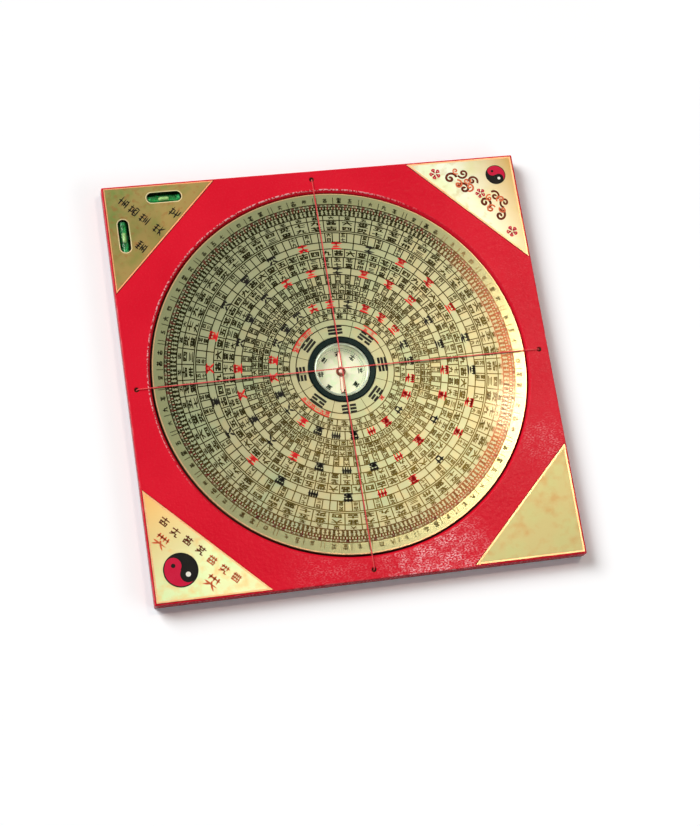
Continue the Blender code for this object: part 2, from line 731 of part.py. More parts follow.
def build_dial():
    """Everything that turns with the dial, and the needle that swings in its capsule."""
    dial_axis = bpy.data.objects.new("dial_axis", None)
    PARTS.objects.link(dial_axis)
    build_dial_core(dial_axis)
    build_dial_face(dial_axis)
    build_capsule_cup(dial_axis)
    build_capsule_card(dial_axis)
    build_pivot_pin(dial_axis)
    build_capsule_glass(dial_axis)
    build_glass_ring(dial_axis)
    build_capsule_bezel(dial_axis)
    needle_axis = bpy.data.objects.new("needle_axis", None)
    needle_axis.parent = dial_axis
    needle_axis.rotation_euler.z = NEEDLE_HEADING
    PARTS.objects.link(needle_axis)
    build_needle_blade(needle_axis)
    build_needle_cap(needle_axis)
    build_needle_ring(needle_axis)


clear_scene()
PARTS = new_collection("feng_shui_compass")
CUTTERS = new_collection("cutters")
build_base_frame()
build_backing_panel()
build_corner_plates()
build_levels()
build_threads()
build_dial()
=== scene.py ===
"""Looks of the feng shui compass: prints, threads, trims, finishes, studio and camera.

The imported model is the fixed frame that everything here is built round. Lengths are in metres where
no other unit is named. X runs right along the board, Y up the board and Z out of its face.
"""

import logging
import math
from collections.abc import Callable, Iterator, Sequence
from contextlib import contextmanager
from dataclasses import dataclass, field
from enum import Enum
from functools import reduce

import bpy
from mathutils import Matrix, Quaternion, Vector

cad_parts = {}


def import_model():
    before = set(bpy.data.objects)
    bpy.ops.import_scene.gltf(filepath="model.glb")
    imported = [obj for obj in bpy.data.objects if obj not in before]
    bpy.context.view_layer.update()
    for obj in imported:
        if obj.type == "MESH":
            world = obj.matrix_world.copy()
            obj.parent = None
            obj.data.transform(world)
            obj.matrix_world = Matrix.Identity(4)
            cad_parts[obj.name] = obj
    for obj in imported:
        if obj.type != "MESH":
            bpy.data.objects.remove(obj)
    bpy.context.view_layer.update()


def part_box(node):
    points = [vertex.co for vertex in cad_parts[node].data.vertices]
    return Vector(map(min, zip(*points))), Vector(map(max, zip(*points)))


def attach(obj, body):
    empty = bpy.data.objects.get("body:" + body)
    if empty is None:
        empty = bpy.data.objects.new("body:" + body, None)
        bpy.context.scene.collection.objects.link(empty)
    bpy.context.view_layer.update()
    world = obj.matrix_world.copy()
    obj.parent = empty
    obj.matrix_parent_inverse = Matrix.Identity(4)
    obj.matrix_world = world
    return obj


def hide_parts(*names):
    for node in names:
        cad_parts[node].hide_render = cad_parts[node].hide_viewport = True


LOG = logging.getLogger("compass")
MM = 0.001

Object = bpy.types.Object
Material = bpy.types.Material
Socket = bpy.types.NodeSocket
Choice = Callable[[float, float, float], bool]
Point = tuple[float, float]
Triple = tuple[float, float, float]
Colour = tuple[float, float, float, float]
Stroke = tuple[float, float, float, float]
Patch = tuple[float, float, float, float]
Drift = tuple[float, float, float, float]


def linear(step: int) -> float:
    """Turn a colour step of 0 to 255, as a screen shows it, into linear light."""
    share = step / 255
    return share / 12.92 if share <= 0.04045 else ((share + 0.055) / 1.055) ** 2.4


def rgb(red: int, green: int, blue: int) -> Colour:
    """Colour of 0 to 255 steps, as a screen shows it, in linear light with full alpha."""
    return (linear(red), linear(green), linear(blue), 1.0)


def turned(degrees: float, axis: str = "Z") -> Matrix:
    """Turn about an axis, counter-clockwise."""
    return Matrix.Rotation(math.radians(degrees), 4, axis)


def moved(x: float, y: float, z: float = 0.0) -> Matrix:
    """Shift along the axes."""
    return Matrix.Translation((x, y, z))


def scaled(x: float, y: float) -> Matrix:
    """Scale along X and Y."""
    return Matrix.Diagonal((x, y, 1.0, 1.0))


def polar(radius: float, degrees: float, across: float = 1.0, along: float = 1.0) -> Matrix:
    """Place on the dial, clockwise from its top, of a mark whose top points outward, scaled both ways."""
    return turned(-degrees) @ moved(0.0, radius) @ scaled(across, along)


def spot(place: Point, size: float = 1.0, degrees: float = 0.0) -> Matrix:
    """Place of a mark on the board, scaled and turned counter-clockwise."""
    return moved(*place) @ turned(degrees) @ scaled(size, size)


class Bench:
    """Blender's operators, used on one piece at a time as at a workbench."""

    @staticmethod
    def clear() -> None:
        """Leave nothing selected."""
        bpy.ops.object.select_all(action="DESELECT")

    @staticmethod
    def take(piece: Object) -> None:
        """Select one piece alone and make it the active one.

        Args:
            piece: The piece.
        """
        Bench.clear()
        piece.select_set(True)
        bpy.context.view_layer.objects.active = piece

    @staticmethod
    @contextmanager
    def edit(
        piece: Object, choose: Choice | None = None, faces: Sequence[bool] | None = None
    ) -> Iterator[None]:
        """Open a piece for editing with some of it selected, and shut it again.

        Args:
            piece: The mesh object.
            choose: Test of a point's x, y and z, or None to select all.
            faces: Whether each face is selected, in place of a test of the points.

        Returns:
            Context in which the piece is open.
        """
        Bench.take(piece)
        mesh = piece.data
        picked = [faces is None and (choose is None or choose(*vertex.co)) for vertex in mesh.vertices]
        mesh.vertices.foreach_set("select", picked)
        for parts in (mesh.edges, mesh.polygons):
            parts.foreach_set("select", [all(picked[i] for i in part.vertices) for part in parts])
        if faces is not None:
            mesh.polygons.foreach_set("select", faces)
        bpy.context.tool_settings.mesh_select_mode = (faces is None, False, faces is not None)
        bpy.ops.object.mode_set(mode="EDIT")
        yield
        bpy.ops.object.mode_set(mode="OBJECT")

    @staticmethod
    def named(name: str) -> Object:
        """Name the primitive that was just added and give it back."""
        bpy.context.object.name = name
        return bpy.context.object

    @staticmethod
    def square(name: str) -> Object:
        """Add a flat square of unit side.

        Args:
            name: Its name.

        Returns:
            The square.
        """
        Bench.clear()
        bpy.ops.mesh.primitive_plane_add(size=1.0)
        return Bench.named(name)

    @staticmethod
    def circle(name: str, sides: int, radius: float, filled: bool = True) -> Object:
        """Add a flat circle.

        Args:
            name: Its name.
            sides: Steps round it.
            radius: Its radius.
            filled: Whether it has a face.

        Returns:
            The circle.
        """
        Bench.clear()
        fill = "NGON" if filled else "NOTHING"
        bpy.ops.mesh.primitive_circle_add(vertices=sides, radius=radius, fill_type=fill)
        return Bench.named(name)

    @staticmethod
    def stretch(x: float, y: float) -> None:
        """Scale what is selected along X and Y about the origin."""
        bpy.ops.transform.resize(value=(x, y, 1.0), center_override=(0.0, 0.0, 0.0))

    @staticmethod
    def slide(x: float, y: float, z: float = 0.0) -> None:
        """Move what is selected."""
        bpy.ops.transform.translate(value=(x, y, z))

    @staticmethod
    def hollow(piece: Object, width: float) -> None:
        """Keep only the border of a flat piece.

        Args:
            piece: The flat piece.
            width: Width of the border.
        """
        with Bench.edit(piece):
            bpy.ops.mesh.inset(thickness=width)
            bpy.ops.mesh.delete(type="FACE")

    @staticmethod
    def spin_copies(piece: Object, count: int) -> None:
        """Repeat a piece round the upright axis.

        Args:
            piece: The piece.
            count: How many of it there are in the end.
        """
        if count > 1:
            with Bench.edit(piece):
                bpy.ops.mesh.spin(
                    steps=count - 1,
                    dupli=True,
                    angle=math.tau * (count - 1) / count,
                    center=(0.0, 0.0, 0.0),
                    axis=(0.0, 0.0, 1.0),
                )

    @staticmethod
    def copy(master: Object, place: Matrix) -> Object:
        """Copy a master with its own mesh.

        Args:
            master: The piece that was modelled once.
            place: Where the copy lies.

        Returns:
            The copy, at the origin, with its place in its mesh.
        """
        mesh = master.data.copy()
        mesh.transform(place)
        twin = bpy.data.objects.new(master.name, mesh)
        bpy.context.collection.objects.link(twin)
        return twin

    @staticmethod
    def shelve(master: Object) -> Object:
        """Take a master out of the scene, so that only its copies show.

        Args:
            master: The piece.

        Returns:
            The same piece.
        """
        for owner in list(master.users_collection):
            owner.objects.unlink(master)
        return master

    @staticmethod
    def join(name: str, parts: Sequence[Object]) -> Object:
        """Join pieces into the first of them.

        Args:
            name: Name of the whole.
            parts: The pieces.

        Returns:
            The joined piece.
        """
        Bench.take(parts[0])
        for part in parts:
            part.select_set(True)
        if len(parts) > 1:
            bpy.ops.object.join()
        parts[0].name = name
        return parts[0]

    @staticmethod
    def face_up(piece: Object) -> None:
        """Turn over the faces of a flat piece that look down.

        Args:
            piece: The flat piece.
        """
        down = [face.normal.z < 0.0 for face in piece.data.polygons]
        if any(down):
            with Bench.edit(piece, faces=down):
                bpy.ops.mesh.flip_normals()

    @staticmethod
    def outward(piece: Object) -> None:
        """Make the faces of closed shells look outward."""
        with Bench.edit(piece):
            bpy.ops.mesh.normals_make_consistent(inside=False)

    @staticmethod
    def apply(piece: Object) -> None:
        """Apply every modifier of a piece in order.

        Args:
            piece: The piece.
        """
        Bench.take(piece)
        for modifier in list(piece.modifiers):
            bpy.ops.object.modifier_apply(modifier=modifier.name)

    @staticmethod
    def thicken(piece: Object, thickness: float) -> None:
        """Give a flat piece that faces up a closed thickness above it.

        Args:
            piece: The flat piece.
            thickness: Its height.
        """
        wall = piece.modifiers.new("thickness", "SOLIDIFY")
        wall.thickness, wall.offset = thickness, 1.0
        Bench.apply(piece)

    @staticmethod
    def mount(piece: Object, material: Material, body: str, slot: str) -> None:
        """Dress a finished piece and hang it on its body.

        Args:
            piece: The finished piece.
            material: Its material.
            body: Name of the body that it moves with.
            slot: Slot of the record that its finish comes from; not used.
        """
        piece.data.materials.clear()
        piece.data.materials.append(material)
        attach(piece, body)
        LOG.info("%s: %d faces on %s", piece.name, len(piece.data.polygons), body)


class Tree:
    """Shader nodes, with short ways to add what the finishes and the studio share."""

    def __init__(self, tree: bpy.types.NodeTree) -> None:
        """Work in a node tree."""
        self.tree = tree

    def feed(self, socket: Socket, value: object) -> None:
        """Link a socket, or set it where the value isn't one.

        Args:
            socket: The input.
            value: Output socket or value.
        """
        if isinstance(value, bpy.types.NodeSocket):
            self.tree.links.new(value, socket)
        else:
            socket.default_value = value

    def add(
        self, kind: str, result: str | int, inputs: dict[str | int, object], **settings: object
    ) -> Socket:
        """Add a node.

        Args:
            kind: Its type.
            result: The output to give back.
            inputs: Sockets or values of its inputs.
            settings: Its own settings.

        Returns:
            The output socket.
        """
        node = self.tree.nodes.new(f"ShaderNode{kind}")
        for name, value in settings.items():
            setattr(node, name, value)
        for name, value in inputs.items():
            self.feed(node.inputs[name], value)
        return node.outputs[result]

    def maths(self, operation: str, first: object, second: object = 0.0) -> Socket:
        """One step of arithmetic."""
        return self.add("Math", 0, {0: first, 1: second}, operation=operation)

    def times(self, *values: object) -> Socket:
        """Product of sockets or values."""
        return reduce(lambda first, second: self.maths("MULTIPLY", first, second), values)

    def most(self, *values: object) -> Socket:
        """Greatest of sockets or values."""
        return reduce(lambda first, second: self.maths("MAXIMUM", first, second), values)

    def spread(self, value: Socket, low: float, high: float, start: float = 0.0, end: float = 1.0) -> Socket:
        """Bring a value from the range of low to high to that of start to end."""
        inputs = {"Value": value, "From Min": low, "From Max": high, "To Min": start, "To Max": end}
        return self.add("MapRange", "Result", inputs)

    def seen(self) -> Socket:
        """Socket that is 1 for camera, glossy and transmission rays."""
        rays = ("Is Camera Ray", "Is Glossy Ray", "Is Transmission Ray")
        return self.most(*(self.add("LightPath", ray, {}) for ray in rays))


class Nodes(Tree):
    """Node tree of one material, with its places on the object."""

    def __init__(self, name: str) -> None:
        """Start a material with a Principled shader.

        Args:
            name: Name of the material.
        """
        self.material = bpy.data.materials.new(name)
        self.material.use_nodes = True
        super().__init__(self.material.node_tree)
        self.shader = self.tree.nodes["Principled BSDF"]
        self.place = self.add("TexCoord", "Object", {})
        self.x, self.y, self.z = self.axes(self.place)
        self.radius = self.reach(self.x, self.y)

    def done(self, **inputs: object) -> Material:
        """Feed the shader's own inputs and give the material back.

        Args:
            inputs: Socket or value of each; an underscore in a name stands for a space.

        Returns:
            The material.
        """
        for name, value in inputs.items():
            self.feed(self.shader.inputs[name.replace("_", " ")], value)
        return self.material

    def axes(self, vector: Socket) -> tuple[Socket, Socket, Socket]:
        """The x, y and z of a vector."""
        return tuple(self.add("SeparateXYZ", axis, {0: vector}) for axis in "XYZ")

    def mapped(self, scale: Triple, turn: float = 0.0) -> Socket:
        """Object coordinates scaled along each axis and turned by degrees about Z."""
        inputs = {"Vector": self.place, "Rotation": (0.0, 0.0, math.radians(turn)), "Scale": scale}
        return self.add("Mapping", "Vector", inputs)

    def noise(self, scale: float, detail: float = 2.0, vector: Socket | None = None) -> Socket:
        """Noise from 0 to 1 of so many waves per metre and finer layers."""
        inputs = {"Scale": scale, "Detail": detail, "Vector": vector or self.place}
        return self.add("TexNoise", "Fac", inputs)

    def strands(self, scale: Triple, detail: float = 3.0, turn: float = 0.0) -> Socket:
        """Noise drawn out along the board, turned by degrees about Z."""
        return self.noise(1.0, detail, self.mapped(scale, turn))

    def cloud(
        self, scale: float, detail: float, low: float, high: float, start: float = 0.0, end: float = 1.0
    ) -> Socket:
        """Noise whose values from low to high go from start to end."""
        return self.spread(self.noise(scale, detail), low, high, start, end)

    def reach(self, x: Socket, y: Socket) -> Socket:
        """Distance of (x, y) from the middle."""
        return self.maths("POWER", self.maths("ADD", self.times(x, x), self.times(y, y)), 0.5)

    def outside(self, radius: float, blur: float) -> Socket:
        """Share that is 1 outside a radius, with a blurred border."""
        return self.spread(self.radius, radius - blur, radius + blur)

    def nearing(self, value: Socket, level: float, far: float, near: float) -> Socket:
        """Share that grows from 0 to 1 while a value goes from far to near below a level."""
        return self.spread(value, level - far, level - near)

    def slope(self, drift: Drift, end: float = 1.0) -> Socket:
        """Share that grows up to end along a drift: weight of x and of y, and where it starts and is full."""
        reach = self.maths("ADD", self.times(self.x, drift[0]), self.times(self.y, drift[1]))
        return self.spread(reach, drift[2], drift[3], 0.0, end)

    def patch(self, place: Patch, end: float = 1.0) -> Socket:
        """Share of a round patch up to end: its x, y, and the reach where it ends and where it is full."""
        reach = self.reach(self.maths("SUBTRACT", self.x, place[0]), self.maths("SUBTRACT", self.y, place[1]))
        return self.spread(reach, place[2], place[3], 0.0, end)

    def blend(self, share: Socket, first: object, second: object) -> Socket:
        """Mix two colours by a share."""
        return self.add("Mix", 2, {0: share, 6: first, 7: second}, data_type="RGBA")

    def bump(
        self, height: Socket, distance: float, strength: float = 1.0, under: Socket | None = None
    ) -> Socket:
        """Normal from a height of 0 to 1 that stands for a distance, over the normal of another bump."""
        inputs = {"Strength": strength, "Distance": distance, "Height": height}
        return self.add("Bump", "Normal", inputs if under is None else {**inputs, "Normal": under})


@dataclass(frozen=True)
class Lacquer:
    """Sprayed lacquer with orange peel, with painted shade darkening its sides, and paler where it has
    rubbed.

    The pockets of the levels are darkened with painted shade. A glint patch has x, y, reach and share.
    """

    colour: Colour
    deep: Colour
    edge: Colour
    wall: Colour
    pocket_shade: Colour
    half_side: float
    top: float
    mouth_radius: float
    glint_patches: tuple[Patch, ...]
    roughness: float = 0.24
    peel: float = 0.00007

    def material(self, name: str) -> Material:
        """Build the material.

        Args:
            name: Its name.

        Returns:
            The material.
        """
        nodes = Nodes(name)
        side = nodes.most(nodes.maths("ABSOLUTE", nodes.x), nodes.maths("ABSOLUTE", nodes.y))
        shade = nodes.blend(nodes.cloud(28.0, 4.0, 0.3, 0.7), self.colour, self.deep)
        # Painted shade: the outer sides take a darker red than the top.
        shade = nodes.blend(nodes.nearing(side, self.half_side, 0.0004, 0.0001), shade, self.wall)
        # Painted shade: a dark colour in the level pockets and other recesses of the top.
        shade = nodes.blend(self._pocket_shade(nodes, side), shade, self.pocket_shade)
        corner = nodes.times(
            nodes.nearing(side, self.half_side, 0.0009, 0.0003),
            nodes.nearing(nodes.z, self.top, 0.0014, 0.0004),
            nodes.cloud(160.0, 3.0, 0.50, 0.80, 0.0, 0.25),
        )
        # Painted glints: pale flecks on the top face, densest in patches along the lower right.
        glints = nodes.times(self._glints(nodes), nodes.nearing(nodes.z, self.top, 0.0006, 0.0001))
        speck = nodes.noise(900.0)
        coarse = nodes.bump(nodes.noise(420.0), self.peel * 2.4)
        return nodes.done(
            Specular_IOR_Level=0.07,
            IOR=1.5,
            # The pale colour serves the rubbed corners, the painted glint flecks and the painted glint dashes
            # along the mouth.
            Base_Color=nodes.blend(nodes.most(corner, self._mouth_glints(nodes), glints), shade, self.edge),
            Roughness=nodes.spread(speck, 0.3, 0.7, self.roughness - 0.05, self.roughness + 0.07),
            Normal=nodes.bump(speck, self.peel, under=coarse),
        )

    def _pocket_shade(self, nodes: Nodes, side: Socket) -> Socket:
        """Find where painted shade darkens the pockets: below the top face, clear of the mouth and of the
        outer sides.

        Args:
            nodes: The material's nodes.
            side: Distance from the middle towards the nearest side.

        Returns:
            Its share.
        """
        sunk = nodes.nearing(nodes.z, self.top, 0.0002, 0.0005)
        clear = nodes.nearing(nodes.radius, self.mouth_radius, -0.003, -0.004)
        return nodes.times(sunk, clear, nodes.nearing(side, self.half_side, 0.001, 0.002))

    def _mouth_glints(self, nodes: Nodes) -> Socket:
        """Paint glints in dashes along the mouth, most of them on its upper left.

        Args:
            nodes: The material's nodes.

        Returns:
            Share of painted glints.
        """
        beside = nodes.maths("ABSOLUTE", nodes.maths("SUBTRACT", nodes.radius, self.mouth_radius))
        lean = nodes.spread(nodes.maths("SUBTRACT", nodes.y, nodes.x), 0.03, 0.10, 0.05, 1.0)
        dash = nodes.cloud(820.0, 2.0, 0.46, 0.56)
        return nodes.times(nodes.spread(beside, 0.00055, 0.0002), lean, dash)

    def _glints(self, nodes: Nodes) -> Socket:
        """Paint glints as pale flecks on the lacquer, densely in the glint patches and faintly towards the
        right.

        Args:
            nodes: The material's nodes.

        Returns:
            Share of painted glints.
        """
        near = nodes.spread(nodes.x, 0.05, 0.12, 0.0, 0.04)
        for x, y, reach, share in self.glint_patches:
            near = nodes.most(near, nodes.patch((x, y, reach, reach * 0.3), share))
        fleck = nodes.spread(nodes.strands((780.0, 1500.0, 1300.0)), 0.48, 0.60)
        return nodes.times(near, fleck, nodes.cloud(200.0, 3.0, 0.40, 0.58, 0.2, 1.0))


@dataclass(frozen=True)
class GoldSheet:
    """Anodised gold sheet with a fine grain, mottled by two other tones; a drift, where given, paints a
    gradient of light across it.
    """

    colour: Colour
    warm: Colour
    green: Colour
    grain_turn: float = 0.0
    roughness: float = 0.34
    mottle: float = 1.0
    patch_scale: float = 160.0
    drift: Drift | None = None

    def material(self, name: str) -> Material:
        """Build the material.

        Args:
            name: Its name.

        Returns:
            The material.
        """
        nodes = Nodes(name)
        grain = nodes.strands((260.0, 4200.0, 300.0), turn=self.grain_turn)
        warm = nodes.cloud(self.patch_scale, 5.0, 0.46, 0.72, 0.0, self.mottle)
        # Painted light: the warm tone grows along the drift.
        if self.drift is not None:
            warm = nodes.most(warm, nodes.slope(self.drift))
        green = nodes.cloud(self.patch_scale * 0.4, 3.0, 0.45, 0.70, 0.0, self.mottle)
        return nodes.done(
            Metallic=1.0,
            Anisotropic=0.25,
            Base_Color=nodes.blend(warm, nodes.blend(green, self.colour, self.green), self.warm),
            Roughness=nodes.spread(grain, 0.25, 0.75, self.roughness - 0.06, self.roughness + 0.06),
            Normal=nodes.bump(grain, 0.000006, 0.6),
        )


@dataclass(frozen=True)
class DialFinish:
    """Printed gold inside, a smoother bare gold band outside it, and a painted highlight along its edge.

    Painted shade darkens it towards the upper left, and handling has polished one patch of the printed part
    too.
    """

    colour: Colour
    warm: Colour
    green: Colour
    edge: Colour
    shade_tone: Colour
    bare: Colour
    band_radius: float
    edge_highlight_radius: float
    polished: Patch
    shade_drift: Drift = (-0.55, 0.83, 0.0, 0.085)
    roughness: float = 0.33
    band_roughness: float = 0.21
    band_metal: float = 0.72

    def material(self, name: str) -> Material:
        """Build the material.

        Args:
            name: Its name.

        Returns:
            The material.
        """
        nodes = Nodes(name)
        band = nodes.outside(self.band_radius, 0.0001)
        grain = nodes.strands((260.0, 4200.0, 300.0), turn=68.0)
        cloud = nodes.noise(48.0, 3.0)
        tinted = self.colour
        for share, tone in (
            (nodes.spread(cloud, 0.42, 0.70), self.green),
            (nodes.cloud(150.0, 5.0, 0.50, 0.78, 0.0, 0.8), self.warm),
            # Painted shade towards the upper left.
            (nodes.slope(self.shade_drift, 0.8), self.shade_tone),
            (nodes.times(band, 0.5), self.bare),
            # Painted highlight along the edge.
            (nodes.outside(self.edge_highlight_radius, 0.00015), self.edge),
        ):
            tinted = nodes.blend(share, tinted, tone)
        matt = nodes.spread(grain, 0.25, 0.75, self.roughness - 0.05, self.roughness + 0.05)
        smooth = nodes.spread(cloud, 0.3, 0.7, self.band_roughness - 0.01, self.band_roughness + 0.01)
        band = nodes.most(band, nodes.patch(self.polished))
        return nodes.done(
            Base_Color=tinted,
            Metallic=nodes.spread(band, 0.0, 1.0, 1.0, self.band_metal),
            Roughness=nodes.maths("ADD", matt, nodes.times(band, nodes.maths("SUBTRACT", smooth, matt))),
            Normal=nodes.bump(nodes.times(grain, nodes.maths("SUBTRACT", 1.0, band)), 0.000006, 0.6),
        )


@dataclass(frozen=True)
class InkGlare:
    """Painted highlight: tone that an ink is lightened to outside a radius, along a drift."""

    radius: float
    drift: Drift
    tone: Colour
    share: float = 0.85


@dataclass(frozen=True)
class Ink:
    """Screen-printed ink, a little uneven where the mesh laid less of it.

    Where given, painted highlight lightens it in steps from the middle outward, and in the glare patch it is
    painted nearly away.
    """

    colour: Colour
    thin: Colour
    roughness: float = 0.42
    metallic: float = 0.0
    glares: tuple[InkGlare, ...] = ()
    # Tone of the ink where the painted glare washes it out.
    bare: Colour | None = None
    glare_patch: Patch = (0.104, -0.036, 0.026, 0.010)

    def material(self, name: str) -> Material:
        """Build the material.

        Args:
            name: Its name.

        Returns:
            The material.
        """
        nodes = Nodes(name)
        weave = nodes.noise(2600.0, 1.0)
        share = nodes.times(nodes.spread(weave, 0.35, 0.8), nodes.cloud(180.0, 3.0, 0.3, 0.75))
        colour = nodes.blend(share, self.colour, self.thin)
        for glare in self.glares:
            glare_share = nodes.times(nodes.outside(glare.radius, 0.0003), nodes.slope(glare.drift, glare.share))
            colour = nodes.blend(glare_share, colour, glare.tone)
        if self.bare is not None:
            colour = nodes.blend(nodes.patch(self.glare_patch), colour, self.bare)
        return nodes.done(
            Roughness=self.roughness,
            Specular_IOR_Level=0.08,
            Metallic=self.metallic,
            Base_Color=colour,
            Normal=nodes.bump(weave, 0.000008),
        )


@dataclass(frozen=True)
class TurnedMetal:
    """Metal turned on a lathe, with fine rings round its axis and a few dull patches."""

    colour: Colour
    dull: Colour
    roughness: float = 0.22
    metallic: float = 1.0
    rings: float = 2400.0
    waver: float = 1.5

    def material(self, name: str) -> Material:
        """Build the material.

        Args:
            name: Its name.

        Returns:
            The material.
        """
        nodes = Nodes(name)
        inputs = {"Vector": nodes.place, "Scale": self.rings, "Distortion": self.waver}
        wave = nodes.add("TexWave", "Fac", inputs, wave_type="RINGS", rings_direction="Z")
        patch = nodes.noise(420.0, 4.0)
        return nodes.done(
            Metallic=self.metallic,
            Base_Color=nodes.blend(nodes.spread(patch, 0.45, 0.75), self.colour, self.dull),
            Roughness=nodes.spread(patch, 0.3, 0.7, self.roughness - 0.04, self.roughness + 0.12),
            Normal=nodes.bump(wave, 0.000004, 0.5),
        )


@dataclass(frozen=True)
class Enamel:
    """Glossy black stove enamel with faint dust in it and a cool sheen."""

    colour: Colour
    dust: Colour
    sheen: Colour

    def material(self, name: str) -> Material:
        """Build the material.

        Args:
            name: Its name.

        Returns:
            The material.
        """
        nodes = Nodes(name)
        return nodes.done(
            Specular_IOR_Level=0.11,
            IOR=1.5,
            Specular_Tint=self.sheen,
            Base_Color=nodes.blend(nodes.cloud(1500.0, 2.0, 0.62, 0.8), self.colour, self.dust),
            Roughness=nodes.cloud(200.0, 3.0, 0.3, 0.7, 0.16, 0.30),
            Normal=nodes.bump(nodes.noise(700.0), 0.00001),
        )


@dataclass(frozen=True)
class Board:
    """Dark stained fibreboard with flecks of lighter fibre."""

    colour: Colour
    fibre: Colour
    roughness: float = 0.62

    def material(self, name: str) -> Material:
        """Build the material.

        Args:
            name: Its name.

        Returns:
            The material.
        """
        nodes = Nodes(name)
        strand = nodes.strands((320.0, 1600.0, 900.0), 4.0, 20.0)
        share = nodes.times(nodes.spread(strand, 0.5, 0.75), nodes.cloud(45.0, 4.0, 0.3, 0.7))
        return nodes.done(
            Base_Color=nodes.blend(share, self.colour, self.fibre),
            Roughness=nodes.spread(strand, 0.3, 0.7, self.roughness - 0.08, self.roughness + 0.10),
            Normal=nodes.bump(strand, 0.00004),
        )


@dataclass(frozen=True)
class Card:
    """Printed card with a soft tint and paper fibre; it glows faintly as painted light to lift its shade."""

    colour: Colour
    tint: Colour
    painted_light: Colour
    painted_light_strength: float = 0.26

    def material(self, name: str) -> Material:
        """Build the material.

        Args:
            name: Its name.

        Returns:
            The material.
        """
        nodes = Nodes(name)
        return nodes.done(
            Roughness=0.7,
            # Painted light: the card gives off a faint glow.
            Emission_Color=self.painted_light,
            Emission_Strength=self.painted_light_strength,
            Base_Color=nodes.blend(nodes.cloud(260.0, 3.0, 0.40, 0.62), self.colour, self.tint),
            Normal=nodes.bump(nodes.noise(2200.0, 3.0), 0.00001),
        )


@dataclass(frozen=True)
class Clear:
    """Glass, clear plastic or liquid, with a little waviness in its surface."""

    colour: Colour
    deep: Colour
    ior: float
    alpha: float
    transmission: float = 1.0
    roughness: float = 0.02

    def material(self, name: str) -> Material:
        """Build the material.

        Args:
            name: Its name.

        Returns:
            The material.
        """
        nodes = Nodes(name)
        ripple = nodes.noise(240.0)
        return nodes.done(
            Transmission_Weight=self.transmission,
            IOR=self.ior,
            Alpha=self.alpha,
            Roughness=self.roughness,
            Base_Color=nodes.blend(nodes.spread(ripple, 0.35, 0.7), self.colour, self.deep),
            Normal=nodes.bump(ripple, 0.00001, 0.4),
        )


@dataclass(frozen=True)
class Fibre:
    """Spun thread with lighter fibre tops."""

    colour: Colour
    top: Colour

    def material(self, name: str) -> Material:
        """Build the material.

        Args:
            name: Its name.

        Returns:
            The material.
        """
        nodes = Nodes(name)
        strand = nodes.noise(3800.0, 3.0)
        return nodes.done(
            Roughness=0.75,
            Sheen_Weight=0.25,
            Sheen_Roughness=0.5,
            Base_Color=nodes.blend(nodes.spread(strand, 0.4, 0.75), self.colour, self.top),
            Normal=nodes.bump(strand, 0.00006),
        )


@dataclass(frozen=True)
class NeedleSteel:
    """Bright needle strip with a browned border along its edges."""

    colour: Colour
    border: Colour
    heading: float
    half_width: float
    half_length: float

    def material(self, name: str) -> Material:
        """Build the material.

        Args:
            name: Its name.

        Returns:
            The material.
        """
        nodes = Nodes(name)
        turned_place = nodes.mapped((1.0, 1.0, 1.0), -self.heading)
        x, y, _ = (nodes.maths("ABSOLUTE", axis) for axis in nodes.axes(turned_place))
        side = nodes.spread(x, self.half_width * 0.62, self.half_width * 0.74)
        rim = nodes.most(side, nodes.nearing(y, self.half_length, 0.0007, 0.0004))
        grain = nodes.strands((5200.0, 320.0, 600.0), turn=-self.heading)
        return nodes.done(
            Metallic=0.35,
            Roughness=0.35,
            Base_Color=nodes.blend(rim, self.colour, self.border),
            Normal=nodes.bump(grain, 0.000006),
        )


